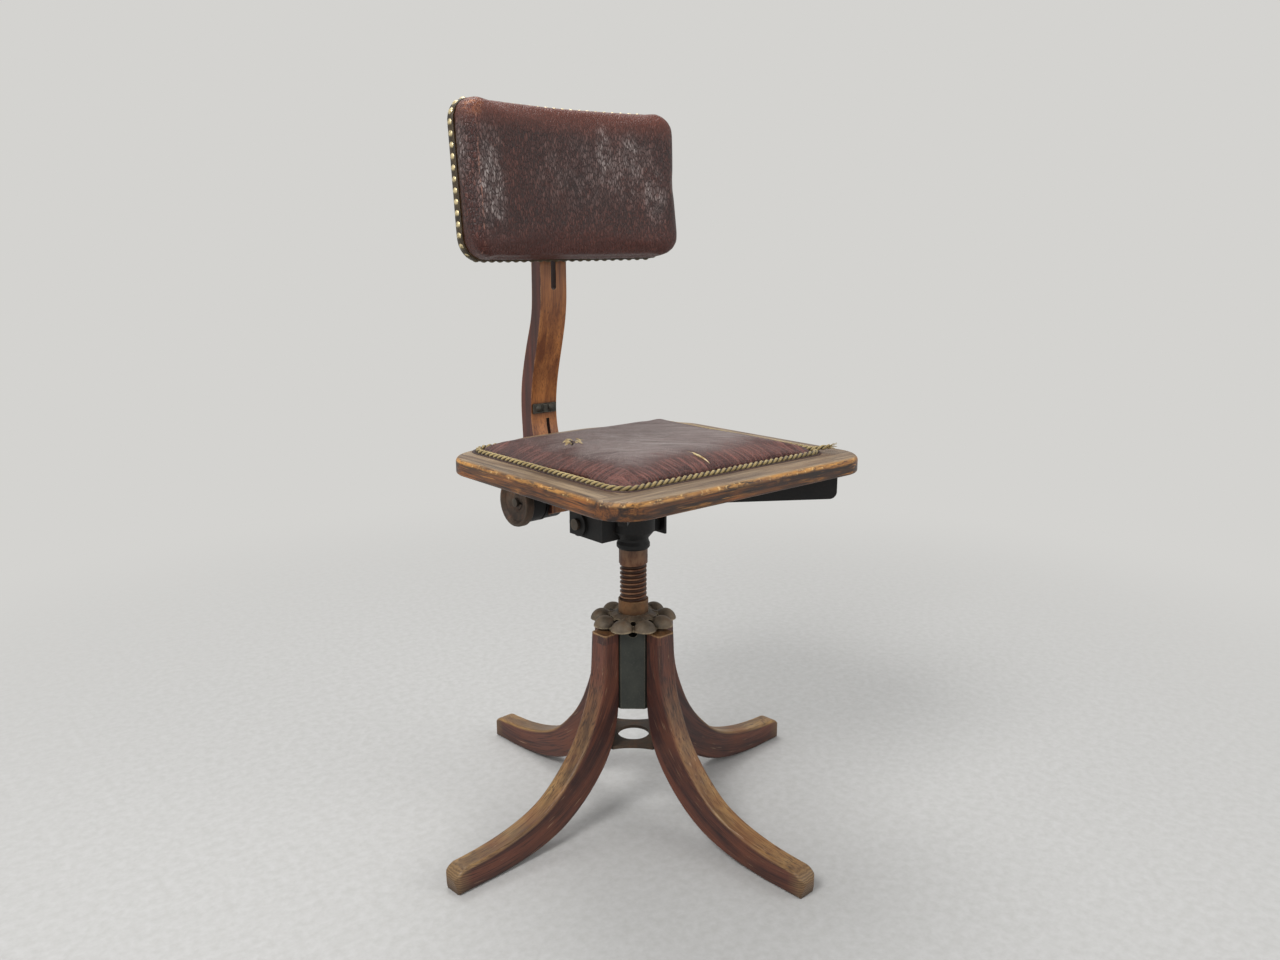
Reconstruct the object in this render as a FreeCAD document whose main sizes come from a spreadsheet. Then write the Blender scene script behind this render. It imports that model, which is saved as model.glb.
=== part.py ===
import FreeCAD, Part
import Sketcher
import math
import os
import re
from FreeCAD import Placement, Rotation, Vector

# Swivel chair, millimetres. The floor is z = 0, the spindle is the Z axis,
# the sitter faces -Y and the sitter's right hand is on the -X side.

doc = FreeCAD.newDocument("swivel_chair")

# Sizes, each written once
V = {
    # base
    "leg_reach": 279.0,
    "leg_width": 26.0,
    "leg_turn": 3.1,
    "leg_edge_round": 3.6,
    "leg_inner": 35.0,
    "tip_corner": 8.5,
    "leg_top": 243.0,
    "leg_tip_rise": 27.0,
    "hub_bottom": 144.5,
    "hub_apothem": 35.0,
    "hub_bore": 19.6,
    "hub_notch": 6.0,
    "leg_screw_shank": 3.0,
    "leg_screw_head": 5.5,
    "leg_screw_low": 172.0,
    "leg_screw_high": 214.0,
    "spider_z": 93.0,
    "spider_thick": 4.0,
    "spider_hole": 19.7,
    "spider_waist": 36.0,
    "spider_arm_half": 11.0,
    "spider_tongue_half": 7.0,
    "washer_thick": 3.8,
    "washer_rim": 30.0,
    # adjusting wheel
    "wheel_gap": 0.2,
    "wheel_thick": 14.0,
    "wheel_petals": 9,
    "wheel_reach": 53.5,
    "wheel_turn": -110.5,
    "petal_round": 14.0,
    "window_bolt_circle": 30.0,
    "window_half": 3.6,
    "neck_rim": 18.4,
    "neck_top": 275.0,
    "spigot_bottom": 231.0,
    # spindle
    "run": 0.06,
    "thread_crest": 16.35,
    "thread_depth": 2.1,
    "thread_pitch": 5.8,
    "thread_turns": 21,
    "thread_top": 321.0,
    "shank_rim": 17.5,
    "spindle_top": 392.0,
    "bush_bottom": 188.0,
    "bush_high": 12.0,
    "journal_rim": 12.0,
    "end_washer_thick": 3.0,
    "end_washer_rim": 17.0,
    "end_screw_rim": 4.0,
    # seat iron
    "collar_bottom": 339.6,
    "collar_rim": 20.3,
    "collar_neck": 18.6,
    "box_half": 46.0,
    "box_front": 3.0,
    "box_rear": 66.0,
    "box_bottom": 352.0,
    "box_top": 436.0,
    "lug_z": 394.0,
    "box_wall": 7.0,
    "side_boss": 15.0,
    "boss_y": 46.0,
    "boss_z": 368.0,
    "strap_wide": 28.0,
    "strap_thick": 4.5,
    "web_thick": 9.0,
    "front_arm": 240.0,
    "front_arm_angle": 47.0,
    "rear_arm": 168.0,
    "rear_arm_angle": 37.0,
    "deep_tip": 407.0,
    "shallow_tip": 431.0,
    "web_root": 396.0,
    # seat
    "seat_top": 460.0,
    "seat_thick": 19.5,
    "seat_front": 204.0,
    "seat_half": 192.0,
    "seat_rear_half": 187.0,
    "seat_rear_corner": 112.0,
    "seat_rear_bow": 156.0,
    "seat_bow_half": 50.0,
    "front_corner": 42.0,
    "rear_corner": 46.0,
    "bow_corner": 90.0,
    "edge_round": 6.0,
    "panel_half": 158.0,
    "panel_front": 166.0,
    "panel_rear": 122.0,
    "panel_corner": 24.0,
    "board_thick": 15.0,
    "board_sink": 1.0,
    "braid_rim": 3.0,
    "braid_inset": 4.6,
    "pad_inset": 7.9,
    "pad_crown": 20.0,
    "soft_gap": 0.2,
    # clamp under the seat
    "axis_y": 170.0,
    "axis_z": 372.0,
    "bolt_rim": 5.5,
    "tongue_thick": 4.4,
    "tongue_mid": 5.5,
    "slit_wide": 5.0,
    "slit_top": 475.0,
    "barrel_rim": 27.0,
    "barrel_gap": 0.4,
    "cup_rim": 28.0,
    "cup_long": 25.0,
    "side_gap": 0.3,
    "knob_rim": 31.6,
    "knob_thick": 12.5,
    "knob_dish": 7.5,
    # back post
    "post_half": 20.0,
    "post_top": 744.0,
    "slot_half": 4.0,
    "slot_bottom": 645.0,
    "pivot_z": 724.0,
    "pivot_y": 163.0,
    "pivot_rim": 4.0,
    "strap_z": 489.0,
    "strap_half": 18.0,
    "strap_high": 12.0,
    "strap_sheet": 2.4,
    "rivet_rim": 4.2,
    "rivet_reach": 9.5,
    # backrest
    "rest_half": 155.0,
    "rest_low": 675.0,
    "rest_high": 855.0,
    "rest_corner": 28.0,
    "rest_rear": 143.0,
    "rest_sag": 17.0,
    "rest_board": 9.0,
    "rest_pad": 31.0,
    "rest_lean": 5.0,
    "rest_panel": 2.0,
    "panel_border": 5.0,
    "nail_rim": 4.7,
    "nail_rise": 2.6,
    "nail_pitch": 12.4,
    "nail_shank": 0.9,
    "nail_deep": 7.0,
    "bracket_half": 26.0,
    "bracket_thick": 3.0,
    "bracket_tongue": 6.0,
}

sheet = doc.addObject("Spreadsheet::Sheet", "Sizes")
for row, (word, number) in enumerate(V.items(), start=1):
    sheet.set("A%d" % row, word)
    sheet.set("B%d" % row, str(number))
    sheet.setAlias("B%d" % row, word)
doc.recompute()

made = []
tools = 0


def bound(text):
    """Turn words of the sheet inside a formula into references to its cells."""
    return re.sub(r"[a-z_]+", lambda m: "Sizes." + m.group(0) if m.group(0) in V else m.group(0), text)


def tag(stem):
    global tools
    tools += 1
    return "%s_%d" % (stem, tools)


def bind(obj, pairs):
    for prop, text in pairs.items():
        obj.setExpression(prop, bound(str(text)))


def box(x, y, z, dx, dy, dz, turn=0.0):
    """Box from its low corner; every entry is a formula in the sheet's words."""
    obj = doc.addObject("Part::Box", tag("block"))
    obj.Placement.Rotation = Rotation(Vector(0, 0, 1), turn)
    bind(obj, {"Length": dx, "Width": dy, "Height": dz})
    bind(obj, {"Placement.Base.x": x, "Placement.Base.y": y, "Placement.Base.z": z})
    return obj


def rod(radius, height, x, y, z, way="Z"):
    """Cylinder that starts at x, y, z and runs along +X, +Y or +Z."""
    obj = doc.addObject("Part::Cylinder", tag("rod"))
    if way == "X":
        obj.Placement.Rotation = Rotation(Vector(0, 1, 0), 90)
    elif way == "Y":
        obj.Placement.Rotation = Rotation(Vector(1, 0, 0), -90)
    bind(obj, {"Radius": radius, "Height": height})
    bind(obj, {"Placement.Base.x": x, "Placement.Base.y": y, "Placement.Base.z": z})
    return obj


def fixed(stem, shape):
    """Helper shape that no primitive gives."""
    obj = doc.addObject("Part::Feature", tag(stem))
    obj.Shape = shape
    return obj


def fuse(label, parts):
    obj = doc.addObject("Part::MultiFuse", label)
    obj.Shapes = parts
    obj.Refine = True
    return obj


def cut(label, base, tool):
    if isinstance(tool, list):
        tool = group(tag("cutters"), tool) if len(tool) > 1 else tool[0]
    obj = doc.addObject("Part::Cut", label)
    obj.Base = base
    obj.Tool = tool
    return obj


def common(label, base, tool):
    obj = doc.addObject("Part::Common", label)
    obj.Base = base
    obj.Tool = tool
    return obj


def group(label, parts):
    obj = doc.addObject("Part::Compound", label)
    obj.Links = parts
    return obj


def keep(label, obj):
    obj.Label = label
    made.append((label, obj))
    return obj


def spin(shape, degrees):
    return shape.rotated(Vector(0, 0, 0), Vector(0, 0, 1), degrees)


def rounded(corners):
    """Edges of a closed polygon whose corners carry radii: [(x, y, radius), ...]."""
    count = len(corners)
    cuts = []
    for i, (x, y, radius) in enumerate(corners):
        here = Vector(x, y, 0)
        before = Vector(*corners[i - 1][:2], 0) - here
        after = Vector(*corners[(i + 1) % count][:2], 0) - here
        if radius <= 0:
            cuts.append((here, here, here))
            continue
        before.normalize()
        after.normalize()
        half = before.getAngle(after) / 2
        reach = radius / math.tan(half)
        middle = before + after
        middle.normalize()
        centre = here + middle * (radius / math.sin(half))
        cuts.append((here + before * reach, centre - middle * radius, here + after * reach))
    edges = []
    for i in range(count):
        start, bulge, end = cuts[i]
        if (end - start).Length > 1e-6:
            edges.append(Part.Arc(start, bulge, end))
        following = cuts[(i + 1) % count][0]
        if (following - end).Length > 1e-6:
            edges.append(Part.LineSegment(end, following))
    return edges


def body(label, plane, edges, length, both=False, lift=None):
    """Body padded from one closed sketch on an origin plane of its own."""
    obj = doc.addObject("PartDesign::Body", tag(label))
    sketch = obj.newObject("Sketcher::SketchObject", tag("outline"))
    flats = {f.Name.split("_")[0]: f for f in obj.Origin.OriginFeatures if "Plane" in f.Name}
    sketch.AttachmentSupport = (flats[plane], [""])
    sketch.MapMode = "FlatFace"
    if lift is not None:
        bind(sketch, {"AttachmentOffset.Base.z": lift})
    for edge in edges:
        sketch.addGeometry(edge, False)
    joined(sketch, edges)
    pad = obj.newObject("PartDesign::Pad", tag("pad"))
    pad.Profile = sketch
    if both:
        pad.SideType = "Symmetric"
    bind(pad, {"Length": length})
    obj.Tip = pad
    return obj, pad, sketch


def joined(sketch, edges):
    """Hold every line of a sketch where its named sizes put it."""
    for i in range(len(edges)):
        sketch.addConstraint(Sketcher.Constraint("Block", i))


def curve(points):
    line = Part.BSplineCurve()
    line.interpolate([Vector(x, y, 0) for x, y in points])
    return line


# Base: four sabre legs against an eight-sided iron hub
tip = V["leg_reach"]
rise = V["leg_tip_rise"]
inner = V["leg_inner"]
outer_line = [(inner + 23, V["leg_top"]), (inner + 25, 205), (inner + 28.5, 176), (74.5, 143)]
outer_line += [(91, 110), (115, 80.5), (147, 54), (184, 39.5), (223, 32), (tip - 15, rise + 2)]
inner_line = [(tip - 3, 0.0), (228, 0.0), (200, 2.0), (160, 8.5), (124, 21), (91, 43)]
inner_line += [(64.5, 70), (48.5, 95), (38.5, 127), (inner, 156)]


def leg_edges():
    top = V["leg_top"]
    shoulder = Vector(tip - 15, rise + 2, 0)
    nose = Vector(tip - 4, rise - 3, 0)
    brow = Vector(tip, rise - 11, 0)
    heel = Vector(tip - 3, 0, 0)
    edges = [curve(outer_line), Part.Arc(shoulder, nose, brow), Part.LineSegment(brow, heel)]
    edges.append(Part.LineSegment(heel, Vector(228, 0, 0)))
    edges.append(curve(inner_line[1:]))
    edges.append(Part.LineSegment(Vector(inner, 156, 0), Vector(inner, top, 0)))
    edges.append(Part.LineSegment(Vector(inner, top, 0), Vector(inner + 23, top, 0)))
    return edges


def worn_edges(pad):
    """Names of the outer edges of a leg, on both of its sides, from the top to the tip."""
    names = []
    for i, edge in enumerate(pad.Shape.Edges):
        middle = edge.valueAt((edge.FirstParameter + edge.LastParameter) / 2)
        on_side = abs(abs(middle.y) - V["leg_width"] / 2) < 0.01
        outward = middle.x + middle.z > 178 and middle.z < V["leg_top"] - 1
        if on_side and outward:
            names.append("Edge%d" % (i + 1))
    return names


def leg_plan():
    """Outline of a leg seen from above: a bar with rounded corners at the toe."""
    side = V["leg_width"] / 2 + 0.6
    return rounded([(20, -side, 0), (tip, -side, V["tip_corner"]),
                    (tip, side, V["tip_corner"]), (20, side, 0)])


leg_names = ["leg_left", "leg_rear", "leg_right", "leg_front"]
leg_turns = [V["leg_turn"] + 90 * k for k in range(4)]
for label, turn in zip(leg_names, leg_turns):
    leg, pad, sketch = body(label, "XZ", leg_edges(), "leg_width", both=True)
    doc.recompute()
    names = worn_edges(pad)
    if names:
        worn = leg.newObject("PartDesign::Fillet", tag("worn"))
        worn.Base = (pad, names)
        bind(worn, {"Radius": "leg_edge_round"})
        leg.Tip = worn
    holes = []
    for height in ("leg_screw_low", "leg_screw_high"):
        holes.append(rod("leg_screw_shank + 0.05", "18", "leg_inner - 1", "0", height, "X"))
    holes.append(box("leg_inner", "-spider_tongue_half - 0.3", "spider_z - 0.2",
                     "leg_inner - 12.5", "2 * spider_tongue_half + 0.6", "spider_thick + 0.4"))
    plan, plan_pad, plan_sketch = body("plan", "XY", leg_plan(), "leg_top + 20", lift="-10")
    whole = cut(tag("leg"), common(tag("leg_trim"), leg, plan), holes)
    placed = group(tag("placed"), [whole])
    placed.Placement = Placement(Vector(0, 0, 0), Rotation(Vector(0, 0, 1), turn))
    keep(label, placed)


def ring_of(parts_of, turns):
    """Repeat a list of objects about the Z axis as one compound."""
    rings = []
    for turn in turns:
        ring = group(tag("ring"), parts_of())
        ring.Placement = Placement(Vector(0, 0, 0), Rotation(Vector(0, 0, 1), turn))
        rings.append(ring)
    return rings


def leg_screw_set():
    heads = []
    for height in ("leg_screw_low", "leg_screw_high"):
        head = rod("leg_screw_head", "3.6", "hub_bore + 0.4", "0", height, "X")
        shank = rod("leg_screw_shank", "leg_inner + 12 - hub_bore", "hub_bore + 3.9", "0", height, "X")
        heads.append(fuse(tag("leg_screw"), [head, shank]))
    return heads


keep("leg_screws", group("leg_screws", ring_of(leg_screw_set, leg_turns)))

flat = V["hub_apothem"]
corner = flat / math.cos(math.radians(22.5))
hub_turns = [math.radians(22.5 + 45 * k) for k in range(8)]
hub_points = [(corner * math.cos(t), corner * math.sin(t), 0) for t in hub_turns]
hub, hub_pad, hub_sketch = body("hub", "XY", rounded(hub_points), "leg_top - hub_bottom", lift="hub_bottom")
hub_cutters = [rod("hub_bore", "leg_top - hub_bottom + 2", "0", "0", "hub_bottom - 1")]


def hub_seats():
    seats = []
    for height in ("leg_screw_low", "leg_screw_high"):
        pocket = rod("leg_screw_head + 0.1", "5.1", "hub_bore - 1", "0", height, "X")
        hole = rod("leg_screw_shank + 0.05", "leg_inner", "hub_bore - 1", "0", height, "X")
        seats.append(fuse(tag("screw_seat"), [pocket, hole]))
    return seats


def hub_arch():
    return [rod("hub_notch", "30", "hub_bore - 5", "0", "leg_top", "X")]


hub_cutters += ring_of(hub_seats, [90 * k for k in range(4)])
hub_cutters += ring_of(hub_arch, [45 + 90 * k for k in range(4)])
socket = cut("hub_turned", hub, fuse(tag("hub_cutter"), hub_cutters))
socket_placed = group("hub_socket", [socket])
socket_placed.Placement = Placement(Vector(0, 0, 0), Rotation(Vector(0, 0, 1), V["leg_turn"]))
keep("hub_socket", socket_placed)

# Four-armed plate that ties the legs together under the hub
arm_end = 46.0
tongue_end = 55.5
half_arm = V["spider_arm_half"]
half_tongue = V["spider_tongue_half"]
waist = V["spider_waist"] / math.sqrt(2)
spider_edges = []
for k in range(4):
    turn = Rotation(Vector(0, 0, 1), 90 * k)
    pts = [turn.multVec(Vector(*p, 0)) for p in (
        (arm_end, -half_arm), (arm_end, -half_tongue), (tongue_end, -half_tongue),
        (tongue_end, half_tongue), (arm_end, half_tongue), (arm_end, half_arm))]
    for a, b in zip(pts, pts[1:]):
        spider_edges.append(Part.LineSegment(a, b))
    bend = turn.multVec(Vector(waist, waist, 0))
    ahead = turn.multVec(Vector(half_arm, arm_end, 0))
    spider_edges.append(Part.Arc(pts[-1], bend, ahead))
spider, spider_pad, spider_sketch = body("spider", "XY", spider_edges, "spider_thick", lift="spider_z")
spider_cut = cut("spider_bored", spider, rod("spider_hole", "spider_thick + 2", "0", "0", "spider_z - 1"))
spider_placed = group("spider_plate", [spider_cut])
spider_placed.Placement = Placement(Vector(0, 0, 0), Rotation(Vector(0, 0, 1), V["leg_turn"]))
keep("spider_plate", spider_placed)

keep("thrust_washer", cut("thrust_washer", rod("washer_rim", "washer_thick", "0", "0", "leg_top"),
                          rod("hub_bore + 0.1", "washer_thick + 2", "0", "0", "leg_top - 1")))

# Adjusting wheel: nine arched petals round a threaded neck
wheel_z = V["leg_top"] + V["washer_thick"] + V["wheel_gap"]


def petal(turn):
    """One arched petal: a narrow stem from the neck that swells into a round lobe at the rim."""
    root = Vector(12, 0, wheel_z + 8.5)
    knee = Vector(29, 0, wheel_z + 4.0)
    crown = Vector(V["wheel_reach"] - V["petal_round"], 0, wheel_z - 2.0)
    stem = Part.makeCone(4.6, 6.0, (knee - root).Length, root, knee - root)
    flare = Part.makeCone(6.0, V["petal_round"] - 1.5, (crown - knee).Length, knee, crown - knee)
    ball = Part.makeSphere(V["petal_round"], crown)
    return spin(stem.fuse([flare, ball]), turn)


petal_turns = [V["wheel_turn"] + 360.0 / V["wheel_petals"] * k for k in range(V["wheel_petals"])]
rosette = Part.makeCone(V["wheel_reach"] - 9.0, V["neck_rim"] + 3.0, V["wheel_thick"] - 2.5,
                        Vector(0, 0, wheel_z))
for turn in petal_turns:
    rosette = rosette.fuse(petal(turn))
trim = Part.makeCylinder(70, V["wheel_thick"], Vector(0, 0, wheel_z))
rosette = rosette.common(trim).removeSplitter()
windows = []
for turn in petal_turns:
    mouth = Vector(V["window_bolt_circle"] + 14.0, 0, wheel_z + 21.0)
    shaft = Part.makeCylinder(V["window_half"], 40, mouth, Vector(-0.62, 0, -0.78))
    windows.append(spin(shaft, turn + 180.0 / V["wheel_petals"]))
wheel_cutters = [rod("neck_rim", "wheel_thick + 20", "0", "0", "leg_top")]
wheel_cutters.append(fixed("windows", Part.makeCompound(windows)))
keep("adjusting_wheel", cut("adjusting_wheel", fixed("rosette", rosette),
                            fuse(tag("wheel_cutter"), wheel_cutters)))

sleeve = fuse("sleeve_outer", [
    rod("hub_bore - run", "leg_top + washer_thick + wheel_gap - spigot_bottom", "0", "0", "spigot_bottom"),
    rod("neck_rim", "neck_top - leg_top", "0", "0", "leg_top")])
keep("nut_sleeve", cut("nut_sleeve", sleeve, rod("thread_crest + run", "80", "0", "0", "spigot_bottom - 10")))

# Spindle with a round-crested thread, its guide bush and end screw
crest = V["thread_crest"]
root_r = crest - V["thread_depth"]
thread_low = V["thread_top"] - V["thread_pitch"] * V["thread_turns"]
shoulder_z = V["bush_bottom"] + V["bush_high"] + 0.1
core = Part.makeCylinder(crest, V["thread_top"] - shoulder_z, Vector(0, 0, shoulder_z))
helix = Part.makeHelix(V["thread_pitch"], V["thread_pitch"] * V["thread_turns"], crest)
helix.translate(Vector(0, 0, thread_low - 1.5))
groove_half = V["thread_pitch"] * 0.36
above = Vector(crest + 0.4, 0, groove_half)
below = Vector(crest + 0.4, 0, -groove_half)
profile = Part.Wire([Part.Arc(above, Vector(root_r, 0, 0), below).toShape(),
                     Part.LineSegment(below, above).toShape()])
profile.translate(Vector(0, 0, thread_low - 1.5))
sweep = Part.BRepOffsetAPI.MakePipeShell(Part.Wire(helix))
sweep.setFrenetMode(True)
sweep.add(profile)
sweep.build()
sweep.makeSolid()
groove = sweep.shape()
threaded = core.cut(groove)
spindle_parts = [fixed("threaded", threaded)]
spindle_parts.append(rod("journal_rim", "bush_high + 1.2", "0", "0", "bush_bottom - 0.1"))
spindle_parts.append(rod("shank_rim", "spindle_top - thread_top", "0", "0", "thread_top"))
spindle_whole = fuse("spindle_whole", spindle_parts)
spindle_holes = [rod("end_screw_rim", "16", "0", "0", "bush_bottom - 1"),
                 rod("2.4", "2 * shank_rim + 4", "-shank_rim - 2", "0", "thread_top + 9", "X")]
spindle_holes[1].Placement.Rotation = Rotation(Vector(0, 0, 1), -52) * Rotation(Vector(0, 1, 0), 90)
bind(spindle_holes[1], {"Placement.Base.x": "-(shank_rim + 2) * 0.616",
                        "Placement.Base.y": "(shank_rim + 2) * 0.788"})
keep("spindle", cut("spindle", spindle_whole, spindle_holes))

keep("guide_bush", cut("guide_bush", rod("hub_bore - run", "bush_high", "0", "0", "bush_bottom"),
                       rod("journal_rim + run", "bush_high + 2", "0", "0", "bush_bottom - 1")))
end_z = "bush_bottom - end_washer_thick - 0.1"
keep("end_washer", cut("end_washer", rod("end_washer_rim", "end_washer_thick", "0", "0", end_z),
                       rod("end_screw_rim", "end_washer_thick + 2", "0", "0", end_z + " - 1")))
hex_low = V["bush_bottom"] - V["end_washer_thick"] - 5.6
hex_turns = [math.radians(60 * k) for k in range(7)]
hexagon = Part.Face(Part.makePolygon([Vector(7.5 * math.cos(t), 7.5 * math.sin(t), hex_low)
                                      for t in hex_turns]))
keep("end_screw", fuse("end_screw", [fixed("hexagon", hexagon.extrude(Vector(0, 0, 5.5))),
                                     rod("end_screw_rim", "end_washer_thick + 14", "0", "0", end_z)]))

# Seat iron: collar, open box behind it and four arms under the seat
seat_low = V["seat_top"] - V["seat_thick"]
collar_points = [(0, V["collar_bottom"]), (V["collar_rim"] - 1.6, V["collar_bottom"]),
                 (V["collar_rim"], V["collar_bottom"] + 2.2), (V["collar_rim"], V["collar_bottom"] + 6),
                 (V["collar_neck"], V["collar_bottom"] + 10), (V["collar_neck"], V["collar_bottom"] + 13),
                 (26.0, V["collar_bottom"] + 22), (26.0, V["box_top"]), (0, V["box_top"])]
collar_edges = [Part.LineSegment(Vector(*a, 0), Vector(*b, 0))
                for a, b in zip(collar_points, collar_points[1:] + collar_points[:1])]
collar_body = doc.addObject("PartDesign::Body", "collar_body")
collar_sketch = collar_body.newObject("Sketcher::SketchObject", "collar_outline")
upright = [f for f in collar_body.Origin.OriginFeatures if f.Name.startswith("XZ")]
collar_sketch.AttachmentSupport = (upright[0], [""])
collar_sketch.MapMode = "FlatFace"
for edge in collar_edges:
    collar_sketch.addGeometry(edge, False)
joined(collar_sketch, collar_edges)
collar_turn = collar_body.newObject("PartDesign::Revolution", "collar_turn")
collar_turn.Profile = collar_sketch
collar_turn.ReferenceAxis = (collar_sketch, ["V_Axis"])
collar_turn.Angle = 360
collar_body.Tip = collar_turn

box_shell = cut("box_shell",
                box("-box_half", "box_front", "box_bottom", "2 * box_half", "box_rear - box_front",
                    "box_top - box_bottom"),
                box("box_wall - box_half", "26", "box_bottom + box_wall", "2 * (box_half - box_wall)",
                    "box_rear - box_wall - 26", "box_top"))
boss = rod("side_boss", "5", "-box_half - 4", "boss_y", "boss_z", "X")
rear_lug = box("tongue_mid - tongue_thick / 2 - 12", "box_rear - 1", "lug_z - 14", "12", "36", "28")
iron_parts = [collar_body, box_shell, boss, rear_lug]
arms = [(-V["front_arm_angle"], V["front_arm"], V["deep_tip"]),
        (V["front_arm_angle"] - 180, V["front_arm"], V["shallow_tip"]),
        (V["rear_arm_angle"], V["rear_arm"], V["shallow_tip"]),
        (180 - V["rear_arm_angle"], V["rear_arm"], V["shallow_tip"])]
for angle, reach, tip_z in arms:
    root_z = min(V["web_root"], tip_z)
    web_edges = rounded([(10, seat_low - V["strap_thick"] + 1, 0), (10, root_z, 0), (60, root_z, 0),
                         (reach, tip_z, 9 if tip_z < 420 else 0),
                         (reach, seat_low - V["strap_thick"] + 1, 0)])
    web, web_pad, web_sketch = body("web", "XZ", web_edges, "web_thick", both=True)
    strap = box("0", "-strap_wide / 2", "seat_top - seat_thick - strap_thick", str(reach), "strap_wide",
                "strap_thick")
    arm = group(tag("arm"), [fuse(tag("web_and_strap"), [web, strap])])
    arm.Placement = Placement(Vector(0, 0, 0), Rotation(Vector(0, 0, 1), angle))
    iron_parts.append(arm)
iron_whole = fuse("iron_whole", iron_parts)


def arm_points():
    """Screw places on the arms: two on each strap, beside the web."""
    places = []
    for angle, reach, tip_z in arms:
        for back in (10.0, 62.0):
            for side in (-9.2, 9.2):
                place = Rotation(Vector(0, 0, 1), angle).multVec(Vector(reach - back, side, 0))
                places.append(place)
    return places


screw_places = arm_points()
wood_screws = []
wood_holes = []
for place in screw_places:
    low = seat_low - V["strap_thick"]
    head = Part.makeCone(4.4, 3.2, 2.0, Vector(place.x, place.y, low - 2.0))
    shank = Part.makeCylinder(2.0, V["strap_thick"] + 12.0, Vector(place.x, place.y, low))
    wood_screws.append(head.fuse(shank))
    wood_holes.append(Part.makeCylinder(2.0, V["strap_thick"] + 13.0, Vector(place.x, place.y, low - 1.0)))
hole_set = fixed("wood_holes", Part.makeCompound(wood_holes))
iron_cutters = [rod("shank_rim", "spindle_top - collar_bottom + 1", "0", "0", "collar_bottom - 1"),
                rod("4", "24", "-box_half - 6", "boss_y", "boss_z", "X"),
                rod("4", "30", "tongue_mid - tongue_thick / 2 - 20", "box_rear + 10", "lug_z", "X"),
                rod("4", "30", "tongue_mid - tongue_thick / 2 - 20", "box_rear + 26", "lug_z", "X"),
                hole_set]
keep("seat_iron", cut("seat_iron", iron_whole, fuse(tag("iron_cutter"), iron_cutters)))
keep("iron_screws", group("iron_screws", [fixed("wood_screw", s) for s in wood_screws]))

keep("side_plate", box("box_half", "box_front - 9", "box_bottom - 3", "3", "34", "52"))
keep("side_bolt", fuse("side_bolt", [
    rod("4", "22", "-box_half - 4", "boss_y", "boss_z", "X"),
    rod("7", "4.5", "-box_half - 8.5", "boss_y", "boss_z", "X")]))

# Tilt clamp: tongue, barrel, through bolt, pressure cup and dished knob
tongue_edges = [
    Part.LineSegment(Vector(V["box_rear"] + 1, V["lug_z"] - 13, 0),
                     Vector(V["box_rear"] + 1, V["lug_z"] + 16, 0)),
    Part.LineSegment(Vector(V["box_rear"] + 1, V["lug_z"] + 16, 0), Vector(V["axis_y"], V["axis_z"] + 21, 0)),
    Part.Arc(Vector(V["axis_y"], V["axis_z"] + 21, 0), Vector(V["axis_y"] + 21, V["axis_z"], 0),
             Vector(V["axis_y"], V["axis_z"] - 21, 0)),
    Part.LineSegment(Vector(V["axis_y"], V["axis_z"] - 21, 0), Vector(V["axis_y"] - 26, V["axis_z"] + 6, 0)),
    Part.LineSegment(Vector(V["axis_y"] - 26, V["axis_z"] + 6, 0),
                     Vector(V["box_rear"] + 1, V["lug_z"] - 13, 0))]
tongue, tongue_pad, tongue_sketch = body("tongue", "YZ", tongue_edges, "tongue_thick",
                                         lift="tongue_mid - tongue_thick / 2")
tongue_holes = [rod("bolt_rim", "tongue_thick + 4", "tongue_mid - tongue_thick / 2 - 2",
                    "axis_y", "axis_z", "X")]
for reach in ("box_rear + 10", "box_rear + 26"):
    tongue_holes.append(rod("4", "20", "tongue_mid - 10", reach, "lug_z", "X"))
keep("tongue_plate", cut("tongue_plate", tongue, tongue_holes))
tongue_bolts = []
for reach in ("box_rear + 10", "box_rear + 26"):
    tongue_bolts.append(fuse(tag("tongue_bolt"), [
        rod("4", "12 + tongue_thick", "tongue_mid - tongue_thick / 2 - 12", reach, "lug_z", "X"),
        rod("7", "4", "tongue_mid + tongue_thick / 2", reach, "lug_z", "X"),
        rod("6.5", "4", "tongue_mid - tongue_thick / 2 - 16", reach, "lug_z", "X")]))
keep("tongue_bolts", group("tongue_bolts", tongue_bolts))

barrel_low = "side_gap - post_half"
barrel_long = "tongue_mid - tongue_thick / 2 + post_half - side_gap"
keep("pivot_barrel", cut("pivot_barrel", rod("barrel_rim", barrel_long, barrel_low, "axis_y", "axis_z", "X"),
                         rod("bolt_rim", "80", "-post_half - 20", "axis_y", "axis_z", "X")))
cup_low = "-post_half - side_gap - cup_long"
knob_low = cup_low + " - side_gap - knob_thick"
keep("clamp_bolt", rod("bolt_rim", "2 * post_half + 2 * side_gap + cup_long + knob_thick + 6",
                       knob_low + " + 2", "axis_y", "axis_z", "X"))
nut_hex = Part.Face(Part.makePolygon([Vector(V["post_half"] + V["side_gap"] + 2,
                                             V["axis_y"] + 9.5 * math.cos(t),
                                             V["axis_z"] + 9.5 * math.sin(t)) for t in hex_turns]))
nut_solid = nut_hex.extrude(Vector(5.0, 0, 0))
keep("clamp_nut", cut("clamp_nut", fuse("nut_blank", [
    fixed("nut_hex", nut_solid), rod("12", "2", "post_half + side_gap", "axis_y", "axis_z", "X")]),
    rod("bolt_rim", "30", "post_half - 5", "axis_y", "axis_z", "X")))

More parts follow.
